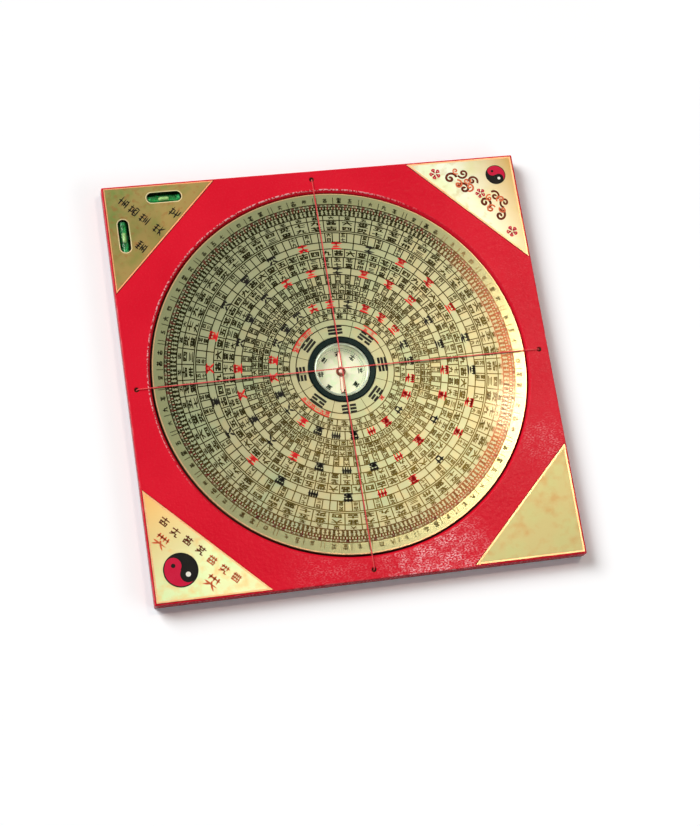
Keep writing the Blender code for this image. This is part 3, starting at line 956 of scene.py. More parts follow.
class Numeral(Enum):
    """Plain Chinese numerals as strokes, each from (x, y) to (x, y) in a square from -1 to 1."""

    ONE = ((-1.0, 0.0, 1.0, 0.05),)
    TWO = ((-0.65, 0.6, 0.65, 0.65), (-1.0, -0.65, 1.0, -0.6))
    THREE = ((-0.8, 0.8, 0.8, 0.85), (-0.6, 0.05, 0.6, 0.1), (-1.0, -0.8, 1.0, -0.75))
    FOUR = (
        (-0.85, 0.75, 0.85, 0.75), (-0.85, 0.8, -0.8, -0.85), (0.85, 0.8, 0.8, -0.85),
        (-0.85, -0.7, 0.85, -0.7), (-0.25, 0.75, -0.5, -0.25), (0.25, 0.75, 0.4, -0.2),
    )
    FIVE = (
        (-0.8, 0.85, 0.8, 0.9), (-0.05, 0.85, -0.35, -0.8), (-0.7, 0.1, 0.6, 0.12),
        (0.6, 0.15, 0.5, -0.8), (-1.0, -0.85, 1.0, -0.82),
    )
    SIX = (
        (-0.1, 1.0, 0.15, 0.6), (-1.0, 0.3, 1.0, 0.35), (-0.2, 0.1, -0.85, -0.95), (0.2, 0.1, 0.9, -0.95),
    )
    SEVEN = ((-1.0, 0.0, 1.0, 0.35), (-0.2, 0.95, -0.15, -0.75), (-0.2, -0.75, 0.9, -0.8))
    EIGHT = ((-0.2, 0.75, -0.9, -0.85), (0.1, 0.85, 0.95, -0.85))
    NINE = (
        (-0.9, 0.35, 0.45, 0.4), (-0.2, 0.95, -0.3, 0.1), (-0.3, 0.15, -0.95, -0.9),
        (0.4, 0.4, 0.4, -0.75), (0.35, -0.75, 0.95, -0.75),
    )
    TEN = ((-1.0, 0.1, 1.0, 0.15), (0.0, 1.0, 0.0, -1.0))
    TWENTY = (
        (-1.0, 0.3, 1.0, 0.3), (-0.45, 0.9, -0.45, -0.8), (0.45, 0.9, 0.45, -0.8), (-0.45, -0.8, 0.5, -0.8),
    )
    THIRTY = (
        (-1.0, 0.15, 1.0, 0.15), (-0.55, 0.9, -0.75, -0.9), (0.0, 0.95, 0.0, -0.9), (0.6, 0.95, 0.65, -0.95),
    )
    FORTY = (
        (-1.0, 0.1, 1.0, 0.1), (-0.7, 0.9, -0.8, -0.85), (-0.25, 0.9, -0.25, -0.85),
        (0.25, 0.9, 0.25, -0.85), (0.7, 0.9, 0.8, -0.85),
    )


UNITS = tuple(Numeral)[:9]
TENS = tuple(Numeral)[9:]


def numerals(value: int) -> tuple[Numeral, ...]:
    """Numerals of a whole number up to 49, from top to bottom."""
    tens, units = divmod(value, 10)
    return TENS[:tens][-1:] + UNITS[:units][-1:]


class Trigram(Enum):
    """The eight traditional trigrams, clockwise from the top of the dial.

    Each has its lines from the inner to the outer one, True for an unbroken line.
    """

    HEAVEN = (True, True, True)
    WATER = (False, True, False)
    WIND = (False, True, True)
    THUNDER = (True, False, False)
    EARTH = (False, False, False)
    FIRE = (True, False, True)
    MOUNTAIN = (False, False, True)
    LAKE = (True, True, False)


class Weight(Enum):
    """Stroke width of a numeral, as a share of half its height."""

    MEDIUM = 0.34
    HEAVY = 0.47
    BOLD = 0.45
    BRUSH = 0.27


class Tone(Enum):
    """Inks of one even tone, each with its full and its thin colour."""

    BLACK = (rgb(20, 20, 18), rgb(40, 38, 30))
    RED = (rgb(214, 26, 34), rgb(218, 62, 50))
    CRIMSON = (rgb(205, 26, 60), rgb(214, 46, 76))
    BROWN = (rgb(96, 36, 26), rgb(150, 82, 52))
    ORANGE = (rgb(214, 96, 62), rgb(232, 142, 92))
    CARD = (rgb(24, 44, 28), rgb(60, 80, 54))
    PALE = (rgb(244, 240, 226), rgb(226, 220, 196))


class TypeCase:
    """Numerals cut once from a stroke master and kept for printing."""

    row_height = 0.92
    end_cap = 0.6

    def __init__(self) -> None:
        """Model a plain stroke that narrows, and a brush stroke with a heavy head and a tapering end."""
        self.letters: dict[tuple[tuple[Numeral, ...], Weight], Object] = {}
        self.plain = self._stroke(Bench.square("plain_stroke"), (0.0, 1.0, 0.7))
        brush = Bench.circle("brush_stroke", 8, 0.5)
        self.brush = self._stroke(brush, (0.2, 1.05, 0.62), (-0.2, 1.0, 1.25))

    @staticmethod
    def _stroke(blank: Object, *ends: Triple) -> Object:
        """Shape the ends of a stroke of unit length.

        Args:
            blank: Flat piece of unit size.
            ends: For each, where it starts, and its scale along and across the stroke.

        Returns:
            The master, kept out of the scene.
        """
        for start, along, across in ends:
            with Bench.edit(blank, lambda x, y, z, at=start: x > at if at >= 0.0 else x < at):
                Bench.stretch(along, across)
        return Bench.shelve(blank)

    def letter(self, value: int, weight: Weight) -> Object:
        """Cut a number whose numerals stand one over another in one square.

        Args:
            value: The number.
            weight: Width of the strokes.

        Returns:
            The master, kept out of the scene.
        """
        written = numerals(value)
        key = (written, weight)
        if key not in self.letters:
            stroke = self.brush if weight in (Weight.BOLD, Weight.BRUSH) else self.plain
            share = 1.0 / len(written)
            tall = share * self.row_height
            parts = []
            for row, numeral in enumerate(written):
                middle = 1.0 - share * (2 * row + 1)
                for x0, y0, x1, y1 in numeral.value:
                    line = (x0, middle + y0 * tall, x1, middle + y1 * tall)
                    parts.append(Bench.copy(stroke, self._along(line, weight.value)))
            self.letters[key] = Bench.shelve(Bench.join("letter", parts))
        return self.letters[key]

    def _along(self, line: Stroke, width: float) -> Matrix:
        """Lay a unit stroke along a line.

        Args:
            line: The x and y of its start and end.
            width: Width of the stroke.

        Returns:
            The matrix that lays it there.
        """
        x0, y0, x1, y1 = line
        length = math.hypot(x1 - x0, y1 - y0) + width * self.end_cap
        turn = Matrix.Rotation(math.atan2(y1 - y0, x1 - x0), 4, "Z")
        return moved((x0 + x1) / 2, (y0 + y1) / 2) @ turn @ scaled(length, width)


class Print:
    """Flat marks of one ink that end as one thin closed layer on a surface."""

    def __init__(self, name: str, turn: float = 0.0) -> None:
        """Start with no marks.

        Args:
            name: Name of the layer.
            turn: Degrees that it is turned as a whole, counter-clockwise.
        """
        self.name = name
        self.turn = turn
        self.marks: list[Object] = []

    def stamp(self, master: Object, place: Matrix) -> None:
        """Print a copy of a master at a place."""
        self.marks.append(Bench.copy(master, place))

    def ring(self, radius: float, width: float, sides: int = 180) -> None:
        """Draw a circle.

        Args:
            radius: Radius of the line's middle.
            width: Width of the line.
            sides: Steps round it.
        """
        inner = radius - width / 2
        share = (radius + width / 2) / inner
        line = Bench.circle("ring", sides, inner, filled=False)
        with Bench.edit(line):
            bpy.ops.mesh.extrude_edges_indiv()
            Bench.stretch(share, share)
        self.marks.append(line)

    def radials(self, inner: float, outer: float, width: float, count: int, start: float = 0.0) -> None:
        """Draw lines along the radius, evenly round the dial.

        Args:
            inner: Radius where they start.
            outer: Radius where they end.
            width: Width of each.
            count: Number of lines.
            start: Degrees of the first, clockwise from the top.
        """
        line = Bench.square("radial")
        with Bench.edit(line):
            Bench.stretch(width, outer - inner)
        line.data.transform(polar((inner + outer) / 2, start))
        Bench.spin_copies(line, count)
        self.marks.append(line)

    def around(
        self,
        letters: Sequence[Object],
        radius: float,
        size: float,
        count: int,
        start: float = 0.0,
        narrow: float = 1.0,
    ) -> None:
        """Set letters in turn round a ring.

        Args:
            letters: Run of letters; the ring holds it a whole number of times.
            radius: Middle of the letters.
            size: Height of a letter.
            count: Number of places round the ring.
            start: Degrees of the first place.
            narrow: Width of a letter as a share of its height.
        """
        run = []
        for i, letter in enumerate(letters):
            place = polar(radius, start + i * 360.0 / count, size / 2 * narrow, size / 2)
            run.append(Bench.copy(letter, place))
        group = Bench.join("run", run)
        Bench.spin_copies(group, count // len(letters))
        self.marks.append(group)

    def arc(self, centre: Point, radius: float, width: float, start: float, sweep: float, steps: int) -> None:
        """Draw a bent line by spinning a short edge.

        Args:
            centre: Middle of the bend.
            radius: Radius of the line's middle.
            width: Width of the line.
            start: Degrees where it starts, counter-clockwise from X.
            sweep: Degrees that it covers, counter-clockwise.
            steps: Number of faces.
        """
        line = Bench.square("arc")
        with Bench.edit(line, lambda x, y, z: y > 0.0):
            bpy.ops.mesh.delete(type="VERT")
        edge = moved(radius, 0.5 * width) @ scaled(width, width)
        line.data.transform(moved(*centre) @ turned(start) @ edge)
        with Bench.edit(line):
            bpy.ops.mesh.spin(
                steps=steps, angle=-math.radians(sweep), center=(*centre, 0.0), axis=(0.0, 0.0, 1.0)
            )
        self.marks.append(line)

    def rim(self, sheet: Object, width: float) -> None:
        """Take the border of a flat sheet as a mark."""
        Bench.hollow(sheet, width)
        self.marks.append(sheet)

    def lay(self, surface: float, material: Material, body: str, slot: str, thickness: float) -> None:
        """Join the marks, give them thickness and sink them halfway into a surface.

        Args:
            surface: Height of the surface.
            material: The ink.
            body: Body that carries the surface.
            slot: Slot of the record that the finish comes from.
            thickness: Height of the ink above the surface.
        """
        sink = thickness / 2
        layer = Bench.join(self.name, self.marks)
        Bench.face_up(layer)
        Bench.thicken(layer, thickness + sink)
        layer.data.transform(moved(0.0, 0.0, surface - sink) @ turned(self.turn))
        Bench.outward(layer)
        Bench.mount(layer, material, body, slot)


@dataclass(frozen=True)
class Cells:
    """One printed ring of cells between two circles, in millimetres.

    A ring has lines along the radius and marks in its cells. Marks that stand one over another
    are rows of the same cell, and wide is the width of a mark as a share of its height.
    """

    inner: float
    outer: float
    lines: int
    line_start: float
    marks: int
    mark_start: float
    size: float
    rows: int = 1
    wide: float = 1.0
    run: int = 6
    first: int = 0


@dataclass(frozen=True)
class BoldRing:
    """One ring of 24 bold numbers, in millimetres; each stands shift degrees past a step of 15."""

    inner: float
    outer: float
    shift: float
    tall: float
    wide: float


@dataclass
class DialPrint:
    """Print of the turning dial, in millimetres where a length isn't named as ink."""

    turn: float = 1.25
    ink_height: float = 0.00003
    ink_step: float = 0.000002
    line_width: float = 0.64
    ring_width: float = 0.62
    ring_gap: float = 0.12
    degree_ticks: Triple = (99.8, 101.2, 1.0)
    band_ticks: Triple = (103.4, 107.4, 0.42)
    band_tick_starts: Triple = (0.5, 1.6, 7.0)
    scale_numbers: tuple[float, float] = (102.15, 1.65)
    bold_red: str = "RBRRRBBRRBRRBBBRBBRRBBBR"
    small_numbers: tuple[int, ...] = (35, 9, 24, 6, 33, 5, 27, 14, 4, 39, 7, 45, 30, 3)
    cells: tuple[Cells, ...] = (
        Cells(95.9, 99.6, 240, 0.75, 240, 0.75, 3.3, wide=0.5, run=10, first=3),
        Cells(92.8, 95.9, 60, 3.0, 60, 0.0, 1.9, wide=1.7, run=6, first=2),
        Cells(86.0, 92.8, 60, 3.0, 60, 0.0, 2.5, rows=2, wide=2.2, run=10, first=1),
        Cells(79.0, 84.9, 120, 0.0, 24, 4.5, 2.3, rows=2, wide=1.05, run=8, first=3),
        Cells(79.0, 84.9, 0, 0.0, 24, 10.5, 2.3, rows=2, wide=1.05, run=8, first=5),
        Cells(69.4, 74.7, 64, 0.0, 64, 2.8125, 3.3, wide=1.45, run=8, first=1),
        Cells(62.9, 69.4, 60, 4.75, 60, 1.75, 2.5, rows=2, wide=1.5, run=10, first=4),
        Cells(52.6, 58.6, 120, 0.0, 60, 1.5, 2.15, rows=2, wide=0.95, run=10, first=2),
        Cells(46.4, 52.6, 72, 2.5, 12, 5.0, 2.5, rows=2, wide=1.2, first=0),
        Cells(46.4, 52.6, 0, 0.0, 12, 10.0, 2.5, rows=2, wide=1.2, first=3),
        Cells(46.4, 52.6, 0, 0.0, 12, 15.0, 2.5, rows=2, wide=1.2, first=6),
        Cells(46.4, 52.6, 0, 0.0, 12, 20.0, 2.5, rows=2, wide=1.2, first=1),
        Cells(46.4, 52.6, 0, 0.0, 12, 25.0, 2.5, rows=2, wide=1.2, first=5),
        Cells(42.9, 46.4, 60, 0.0, 60, 3.0, 2.3, wide=1.2, run=10, first=3),
        Cells(34.5, 37.7, 24, 0.0, 72, 2.5, 2.1, wide=0.9, run=9, first=0),
        Cells(30.8, 34.5, 24, 0.0, 24, 7.5, 2.8, wide=1.2, run=8, first=2),
    )
    bold: tuple[BoldRing, ...] = (
        BoldRing(74.7, 79.0, 7.5, 4.9, 5.8),
        BoldRing(58.6, 62.9, -7.5, 4.9, 5.6),
        BoldRing(37.7, 42.9, 0.0, 5.0, 5.3),
    )
    single_rings: tuple[float, ...] = (103.0, 101.3, 30.75, 26.9)
    sector_lines: Triple = (19.9, 30.75, 0.3)
    trigram_radii: Triple = (22.2, 24.2, 26.2)
    trigram_width: float = 8.6
    trigram_line: float = 1.45
    trigram_gap: float = 1.3
    note_radius: float = 28.5
    note_stagger: float = 0.35
    note_shrink: float = 0.14
    note_width: float = 0.62
    note_bend: Point = (30.3, 0.65)
    inner_bend: Point = (27.4, 0.5)
    letters: TypeCase = field(default_factory=TypeCase)

    def build(self, line: Material, black: Material, red: Material, maroon: Material) -> None:
        """Print the dial.

        Args:
            line: Thin dark ink of the rings and the small numbers.
            black: Full black ink of the bold numbers and the trigrams.
            red: Bright red ink.
            maroon: Dark red ink of the outer scale.
        """
        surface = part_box("dial_face")[1].z
        inks = dict.fromkeys(("scale", "ring", "cell", "mark"), line)
        inks |= {"maroon": maroon, "bold": black, "red": red}
        sheets = {part: Print(f"dial_{part}_print", self.turn) for part in inks}
        self._degrees(sheets["scale"], sheets["maroon"])
        self._circles(sheets["ring"])
        self._cells(sheets["cell"], sheets["mark"])
        self._bold(sheets["ring"], sheets["bold"], sheets["red"])
        self._trigrams(sheets["ring"], sheets["bold"])
        self._notes(sheets["red"])
        for level, (part, ink) in enumerate(inks.items()):
            sheets[part].lay(surface, ink, "dial", "gold_face", self.ink_height + level * self.ink_step)

    @staticmethod
    def _lines(sheet: Print, reach: Sequence[float], count: int, start: float = 0.0) -> None:
        """Draw radial lines of an inner and outer radius and a width in millimetres."""
        sheet.radials(reach[0] * MM, reach[1] * MM, reach[2] * MM, count, start)

    def _run(self, first: int, count: int, weight: Weight) -> list[Object]:
        """Letters of one run of small numbers, taken in turn from the list."""
        values = (self.small_numbers[(first + i) % len(self.small_numbers)] for i in range(count))
        return [self.letters.letter(value, weight) for value in values]

    def _degrees(self, black: Print, maroon: Print) -> None:
        """Print the outer scale: degree ticks in turn black and dark red, and sparse numbers outside.

        Args:
            black: Print of the black marks.
            maroon: Print of the dark red marks.
        """
        radius, size = (length * MM for length in self.scale_numbers)
        for sheet, tick_start, start, first in ((black, 0.0, 0.75, 4), (maroon, 1.0, 2.25, 9)):
            self._lines(sheet, self.degree_ticks, 180, tick_start)
            sheet.around(self._run(first, 10, Weight.HEAVY), radius, size, 120, start, 1.25)
        for radius, size, start, narrow, first in (
            (105.6, 3.3, 9.0, 0.85, 0), (105.6, 2.9, 12.6, 0.9, 5), (105.4, 2.6, 4.4, 0.9, 2),
        ):
            run = self._run(first, 8, Weight.BOLD)
            black.around(run, radius * MM, size * MM, 24, start, narrow)
        for start in self.band_tick_starts:
            self._lines(black, self.band_ticks, 24, start)

    def _circles(self, black: Print) -> None:
        """Print the circles between the rings, one for those that fall together.

        Args:
            black: Print of the circles.
        """
        bands = (*self.cells, *self.bold)
        last = 0.0
        for radius in sorted({*self.single_rings, *(b.inner for b in bands), *(b.outer for b in bands)}):
            if radius - last > self.ring_gap:
                black.ring(radius * MM, self.ring_width * MM)
                last = radius

    def _cells(self, lines: Print, marks: Print) -> None:
        """Print the rings of small numbers.

        Args:
            lines: Print of the lines.
            marks: Print of the numbers.
        """
        for band in self.cells:
            if band.lines:
                self._lines(lines, (band.inner, band.outer, self.line_width), band.lines, band.line_start)
            pitch = (band.outer - band.inner) / band.rows
            for row in range(band.rows):
                run = self._run(band.first + row * 5, band.run, Weight.HEAVY)
                radius = (band.outer - pitch * (row + 0.5)) * MM
                marks.around(run, radius, band.size * MM, band.marks, band.mark_start, band.wide)

    def _bold(self, lines: Print, black: Print, red: Print) -> None:
        """Print three rings of bold numbers, from 12 up to 48 in steps of 5, some of them red.

        Args:
            lines: Print of the lines.
            black: Print of the black numbers.
            red: Print of the red numbers.
        """
        for ring in self.bold:
            self._lines(lines, (ring.inner, ring.outer, self.line_width), 24, ring.shift - 7.5)
            middle = (ring.inner + ring.outer) / 2 * MM
            for i, ink in enumerate(self.bold_red):
                letter = self.letters.letter(12 + 5 * i % 37, Weight.BOLD)
                place = polar(middle, 15.0 * i + ring.shift, ring.wide / 2 * MM, ring.tall / 2 * MM)
                (red if ink == "R" else black).stamp(letter, place)

    def _trigrams(self, lines: Print, black: Print) -> None:
        """Print the eight trigrams round the needle capsule, with the lines between them.

        Args:
            lines: Print of the lines.
            black: Print of the trigrams.
        """
        self._lines(lines, self.sector_lines, 8, 22.5)
        bar = Bench.square("bar")
        with Bench.edit(bar):
            bpy.ops.mesh.bevel(offset=0.03, segments=1, affect="VERTICES")
        Bench.shelve(bar)
        half = (self.trigram_width - self.trigram_gap) / 2
        broken = [(side * (half + self.trigram_gap) / 2, half) for side in (-1, 1)]
        for place, trigram in enumerate(Trigram):
            for radius, whole in zip(self.trigram_radii, trigram.value):
                for shift, length in [(0.0, self.trigram_width)] if whole else broken:
                    size = scaled(length * MM, self.trigram_line * MM)
                    black.stamp(bar, polar(radius * MM, 45.0 * place) @ moved(shift * MM, 0.0) @ size)

    def _notes(self, red: Print) -> None:
        """Print red numbers in rows outside the diagonal trigrams, each row under a bent line.

        Args:
            red: Print of the numbers and lines.
        """
        radius, width = self.note_bend
        for middle, count, spacing, size in (
            (-45.0, 5, 6.8, 2.6), (223.0, 6, 6.2, 2.5), (44.0, 2, 9.0, 1.9), (135.0, 1, 6.6, 2.4),
        ):
            reach = (count - 1) / 2 * spacing
            for i in range(count):
                letter = self.letters.letter(23 + 4 * i, Weight.MEDIUM)
                tall = size * (1.0 - self.note_shrink * (i % 3)) * MM
                far = (self.note_radius + self.note_stagger * (i % 2)) * MM
                place = polar(far, middle - reach + i * spacing, tall * self.note_width, tall / 2)
                red.stamp(letter, place)
            if count > 1:
                start = 90.0 - middle - reach - spacing / 2
                red.arc((0.0, 0.0), radius * MM, width * MM, start, 2 * reach + spacing, 4 * count)
        radius, width = self.inner_bend
        red.arc((0.0, 0.0), radius * MM, width * MM, 28.0, 36.0, 10)


@dataclass(frozen=True)
class Taiji:
    """Place and size of one taiji disc; heading points from the red head to the black one, in degrees."""

    corner: str
    centre: Point
    radius: float
    heading: float
    red_on_left: bool


@dataclass(frozen=True)
class Row:
    """Numbers along a slanted line of a corner plate, counting on in steps; lengths in millimetres."""

    sheet: str
    tone: Tone
    weight: Weight
    size: float
    first: int
    step: int
    places: tuple[Point, ...]


@dataclass
class PlatePrint:
    """Print and trims of the four corner plates.

    A scroll has x, y and size in millimetres, turn and hand. The parts of a disc are shares of its radius.
    """

    inks: dict[Tone, Material]
    corners: dict[str, tuple[int, int]] = field(
        default_factory=lambda: {"nw": (-1, 1), "ne": (1, 1), "sw": (-1, -1), "se": (1, -1)}
    )
    # Pale rims: bare cut metal, partly painted edge highlight; the dull one is a shaded copy.
    edge: GoldSheet = GoldSheet(rgb(214, 156, 112), rgb(224, 172, 130), rgb(208, 178, 128), 0.0, 0.3)
    dull_edge: GoldSheet = GoldSheet(rgb(222, 142, 102), rgb(226, 156, 112), rgb(206, 150, 100), 0.0, 0.3)
    window_edge: GoldSheet = GoldSheet(rgb(196, 186, 142), rgb(200, 170, 128), rgb(176, 176, 130), 0.0, 0.3)
    rim_width: float = 0.0009
    dull_rim_width: float = 0.00063
    window_rim: float = 0.00055
    rim_height: float = 0.00006
    ink_height: float = 0.00003
    ink_step: float = 0.000004
    disc_step: float = 0.000012
    disc_base: float = 1.03
    disc_inner: float = 0.955
    dark_dot: float = 0.13
    light_dot: float = 0.15
    window_length: float = 0.0206
    window_width: float = 0.0064
    rows: tuple[Row, ...] = (
        Row(
            "numbers_nw", Tone.BLACK, Weight.BRUSH, 6.0, 15, 9,
            ((-112.9, 114.8), (-107.7, 109.0), (-102.1, 103.2)),
        ),
        Row(
            "numbers_nw", Tone.BLACK, Weight.BRUSH, 6.2, 27, 9,
            ((-84.1, 105.5), (-94.8, 95.9), (-106.0, 86.3)),
        ),
        Row(
            "numbers_sw", Tone.BROWN, Weight.MEDIUM, 4.8, 14, 5,
            ((-113.7, -78.2), (-108.5, -85.0), (-102.1, -90.5), (-95.6, -96.8)),
        ),
        Row(
            "light_numbers_sw", Tone.ORANGE, Weight.MEDIUM, 4.8, 34, 5,
            ((-90.2, -103.1), (-84.1, -109.1), (-78.1, -114.6)),
        ),
        Row("light_numbers_sw", Tone.ORANGE, Weight.BRUSH, 8.0, 46, -10, ((-117.0, -89.1), (-91.8, -115.4))),
    )
    clouds: tuple[tuple[float, float, float, float, int], ...] = (
        (85.0, 112.6, 3.2, 10.0, 1), (92.0, 115.2, 2.8, 200.0, 1),
        (91.0, 105.6, 3.2, 150.0, -1), (98.0, 109.6, 2.8, 330.0, 1),
        (103.2, 94.6, 3.2, 300.0, 1), (109.4, 99.4, 2.8, 120.0, -1),
        (110.8, 87.0, 3.2, 80.0, -1), (115.2, 93.6, 2.8, 250.0, -1),
    )
    puffs: tuple[tuple[float, float, float, float, int], ...] = (
        (88.4, 109.0, 2.4, 90.0, -1), (95.0, 105.8, 2.4, 240.0, 1),
        (88.6, 117.0, 1.8, 300.0, -1), (94.6, 110.6, 2.0, 20.0, -1),
        (106.4, 91.0, 2.4, 20.0, 1), (112.6, 96.2, 2.2, 200.0, -1),
        (113.0, 90.2, 2.0, 140.0, 1), (106.4, 98.2, 2.0, 60.0, 1),
    )
    blossoms: tuple[Triple, ...] = ((75.4, 116.4, 3.5), (116.4, 75.4, 3.5), (101.2, 101.6, 3.1))
    discs: tuple[Taiji, ...] = (
        Taiji("sw", (-0.1082, -0.1066), 0.0096, -36.0, False),
        Taiji("ne", (0.11265, 0.1127), 0.0060, -54.5, True),
    )
    letters: TypeCase = field(default_factory=TypeCase)

    def build(self) -> None:
        """Print the plates and lay their bright rims."""
        self._rims()
        self._numbers()
        self._ornament()
        for disc in self.discs:
            self._disc(disc)

    @staticmethod
    def _lay(sheet: Print, corner: str, material: Material, height: float) -> None:
        """Lay a print or a rim on a corner plate."""
        sheet.lay(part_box(f"corner_plate_{corner}")[1].z, material, "base", "gold_plate", height)

    def _corner(self, corner: str) -> Object:
        """Model a flat triangle with a plate's outline.

        Args:
            corner: Which plate.

        Returns:
            The triangle.
        """
        low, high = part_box(f"corner_plate_{corner}")
        middle = (low + high) / 2
        sx, sy = self.corners[corner]
        sheet = Bench.square("corner")
        with Bench.edit(sheet):
            Bench.stretch(high.x - low.x, high.y - low.y)
            Bench.slide(middle.x, middle.y)
        with Bench.edit(sheet, lambda x, y, z: (x - middle.x) * sx < 0.0 and (y - middle.y) * sy < 0.0):
            bpy.ops.mesh.delete(type="VERT")
        with Bench.edit(sheet):
            bpy.ops.mesh.edge_face_add()
        return sheet

    def _window(self, level: str) -> Object:
        """Model a flat slot shape just outside a level's window.

        Args:
            level: Axis that the level lies along.

        Returns:
            The slot shape.
        """
        low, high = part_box(f"level_{level}_tube")
        radius = self.window_width / 2 + self.window_rim
        reach = (self.window_length - self.window_width) / 2
        sheet = Bench.circle("window", 32, radius)
        for side in (-1, 1):
            with Bench.edit(sheet, lambda x, y, z, side=side: x * side > radius * 0.01):
                Bench.slide(side * reach, 0.0)
        sheet.data.transform(spot(((low + high) / 2).xy, 1.0, 0.0 if level == "x" else 90.0))
        return sheet

    def _rims(self) -> None:
        """Lay pale rims of bare cut metal round each plate and the two level windows, widened as a painted
        edge highlight; the rim on the plate of the levels is a duller, shaded copy.
        """
        edge, dull_edge = self.edge.material("cut_edge"), self.dull_edge.material("dull_edge")
        for corner in self.corners:
            border = Print(f"plate_rim_{corner}")
            width, material = (self.dull_rim_width, dull_edge) if corner == "nw" else (self.rim_width, edge)
            border.rim(self._corner(corner), width)
            self._lay(border, corner, material, self.rim_height)
        windows = Print("window_rims")
        for level in "xy":
            windows.rim(self._window(level), self.window_rim)
        self._lay(windows, "nw", self.window_edge.material("window_edge"), self.rim_height)

    def _numbers(self) -> None:
        """Print the numbers between the levels and along the slanted sides."""
        sheets: dict[str, tuple[Print, Tone]] = {}
        for row in self.rows:
            sheet, _ = sheets.setdefault(row.sheet, (Print(row.sheet), row.tone))
            turn = 45.0 if row.sheet.endswith("nw") else -45.0
            for i, (x, y) in enumerate(row.places):
                letter = self.letters.letter(row.first + i * row.step, row.weight)
                sheet.stamp(letter, spot((x * MM, y * MM), row.size / 2 * MM, turn))
        for sheet, tone in sheets.values():
            self._lay(sheet, sheet.name[-2:], self.inks[tone], self.ink_height)

    def _scroll(self, sheet: Print, place: Point, size: float, turn: float, hand: int) -> None:
        """Draw a cloud scroll: bends that tighten towards its eye.

        Args:
            sheet: The print that takes it.
            place: Middle of the first bend.
            size: Radius of the first bend.
            turn: Degrees where it starts.
            hand: 1 to curl to the left, -1 to the right.
        """
        (x, y), radius, start = place, size, turn
        for sweep, share in ((150.0, 0.62), (140.0, 0.55), (190.0, 0.5)):
            sheet.arc((x, y), radius, size * 0.46, start if hand > 0 else start - sweep, sweep, 10)
            start += hand * sweep
            shift = radius * (1.0 - share)
            x += shift * math.cos(math.radians(start))
            y += shift * math.sin(math.radians(start))
            radius *= share

    def _blossom(self, sheet: Print, place: Point, size: float) -> None:
        """Draw a plain five-petalled blossom in thin lines.

        Args:
            sheet: The print that takes it.
            place: Its middle.
            size: Its radius.
        """
        petal = Bench.circle("petal", 10, 0.40)
        with Bench.edit(petal, lambda x, y, z: y < 0.0):
            Bench.stretch(0.5, 1.2)
        Bench.hollow(petal, 0.24)
        petal.data.transform(moved(0.0, 0.62))
        Bench.spin_copies(petal, 5)
        petal.data.transform(spot(place, size, 20.0))
        sheet.marks.append(petal)

    def _ornament(self) -> None:
        """Print cloud scrolls along the slanted side of the north-east plate, with blossoms."""
        for name, scrolls, tone, height in (
            ("clouds_ne", self.clouds, Tone.BROWN, self.ink_height),
            ("puffs_ne", self.puffs, Tone.ORANGE, self.ink_height + self.ink_step),
        ):
            sheet = Print(name)
            for x, y, size, turn, hand in scrolls:
                self._scroll(sheet, (x * MM, y * MM), size * MM, turn, hand)
            self._lay(sheet, "ne", self.inks[tone], height)
        flowers = Print("blossoms_ne")
        for x, y, size in self.blossoms:
            self._blossom(flowers, (x * MM, y * MM), size * MM)
        self._lay(flowers, "ne", self.inks[Tone.CRIMSON], self.ink_height)

    @staticmethod
    def _round(place: Point, radius: float, keep_side: float | None) -> Object:
        """Model a flat round mark, or the half of one on the left of a heading.

        Args:
            place: Its middle.
            radius: Its radius.
            keep_side: Heading in degrees, or None for the whole disc.

        Returns:
            The flat mark.
        """
        mark = Bench.circle("round", 64, radius)
        if keep_side is not None:
            heading = math.radians(keep_side)
            normal = (-math.sin(heading), math.cos(heading), 0.0)
            with Bench.edit(mark):
                bpy.ops.mesh.bisect(plane_co=(0.0, 0.0, 0.0), plane_no=normal, clear_inner=True)
        mark.data.transform(moved(*place))
        return mark

    def _disc(self, disc: Taiji) -> None:
        """Print one taiji in layers, each a little higher than the one before.

        Args:
            disc: Its place and size.
        """
        (x, y), heading = disc.centre, math.radians(disc.heading)
        across, along = disc.radius / 2 * math.cos(heading), disc.radius / 2 * math.sin(heading)
        tail, head = (x - across, y - along), (x + across, y + along)
        inner = disc.radius * self.disc_inner
        red_side = disc.heading + (0.0 if disc.red_on_left else 180.0)
        layers = (
            ("base", Tone.BLACK, disc.centre, disc.radius * self.disc_base, None),
            ("half", Tone.CRIMSON, disc.centre, inner, red_side),
            ("red_head", Tone.CRIMSON, tail, inner / 2, None),
            ("black_head", Tone.BLACK, head, inner / 2, None),
            ("dots", Tone.BLACK, tail, disc.radius * self.dark_dot, None),
            ("light_dot", Tone.PALE, head, disc.radius * self.light_dot, None),
        )
        for level, (part, tone, place, radius, keep_side) in enumerate(layers):
            sheet = Print(f"taiji_{disc.corner}_{part}")
            sheet.marks.append(self._round(place, radius, keep_side))
            self._lay(sheet, disc.corner, self.inks[tone], self.ink_height + level * self.disc_step)


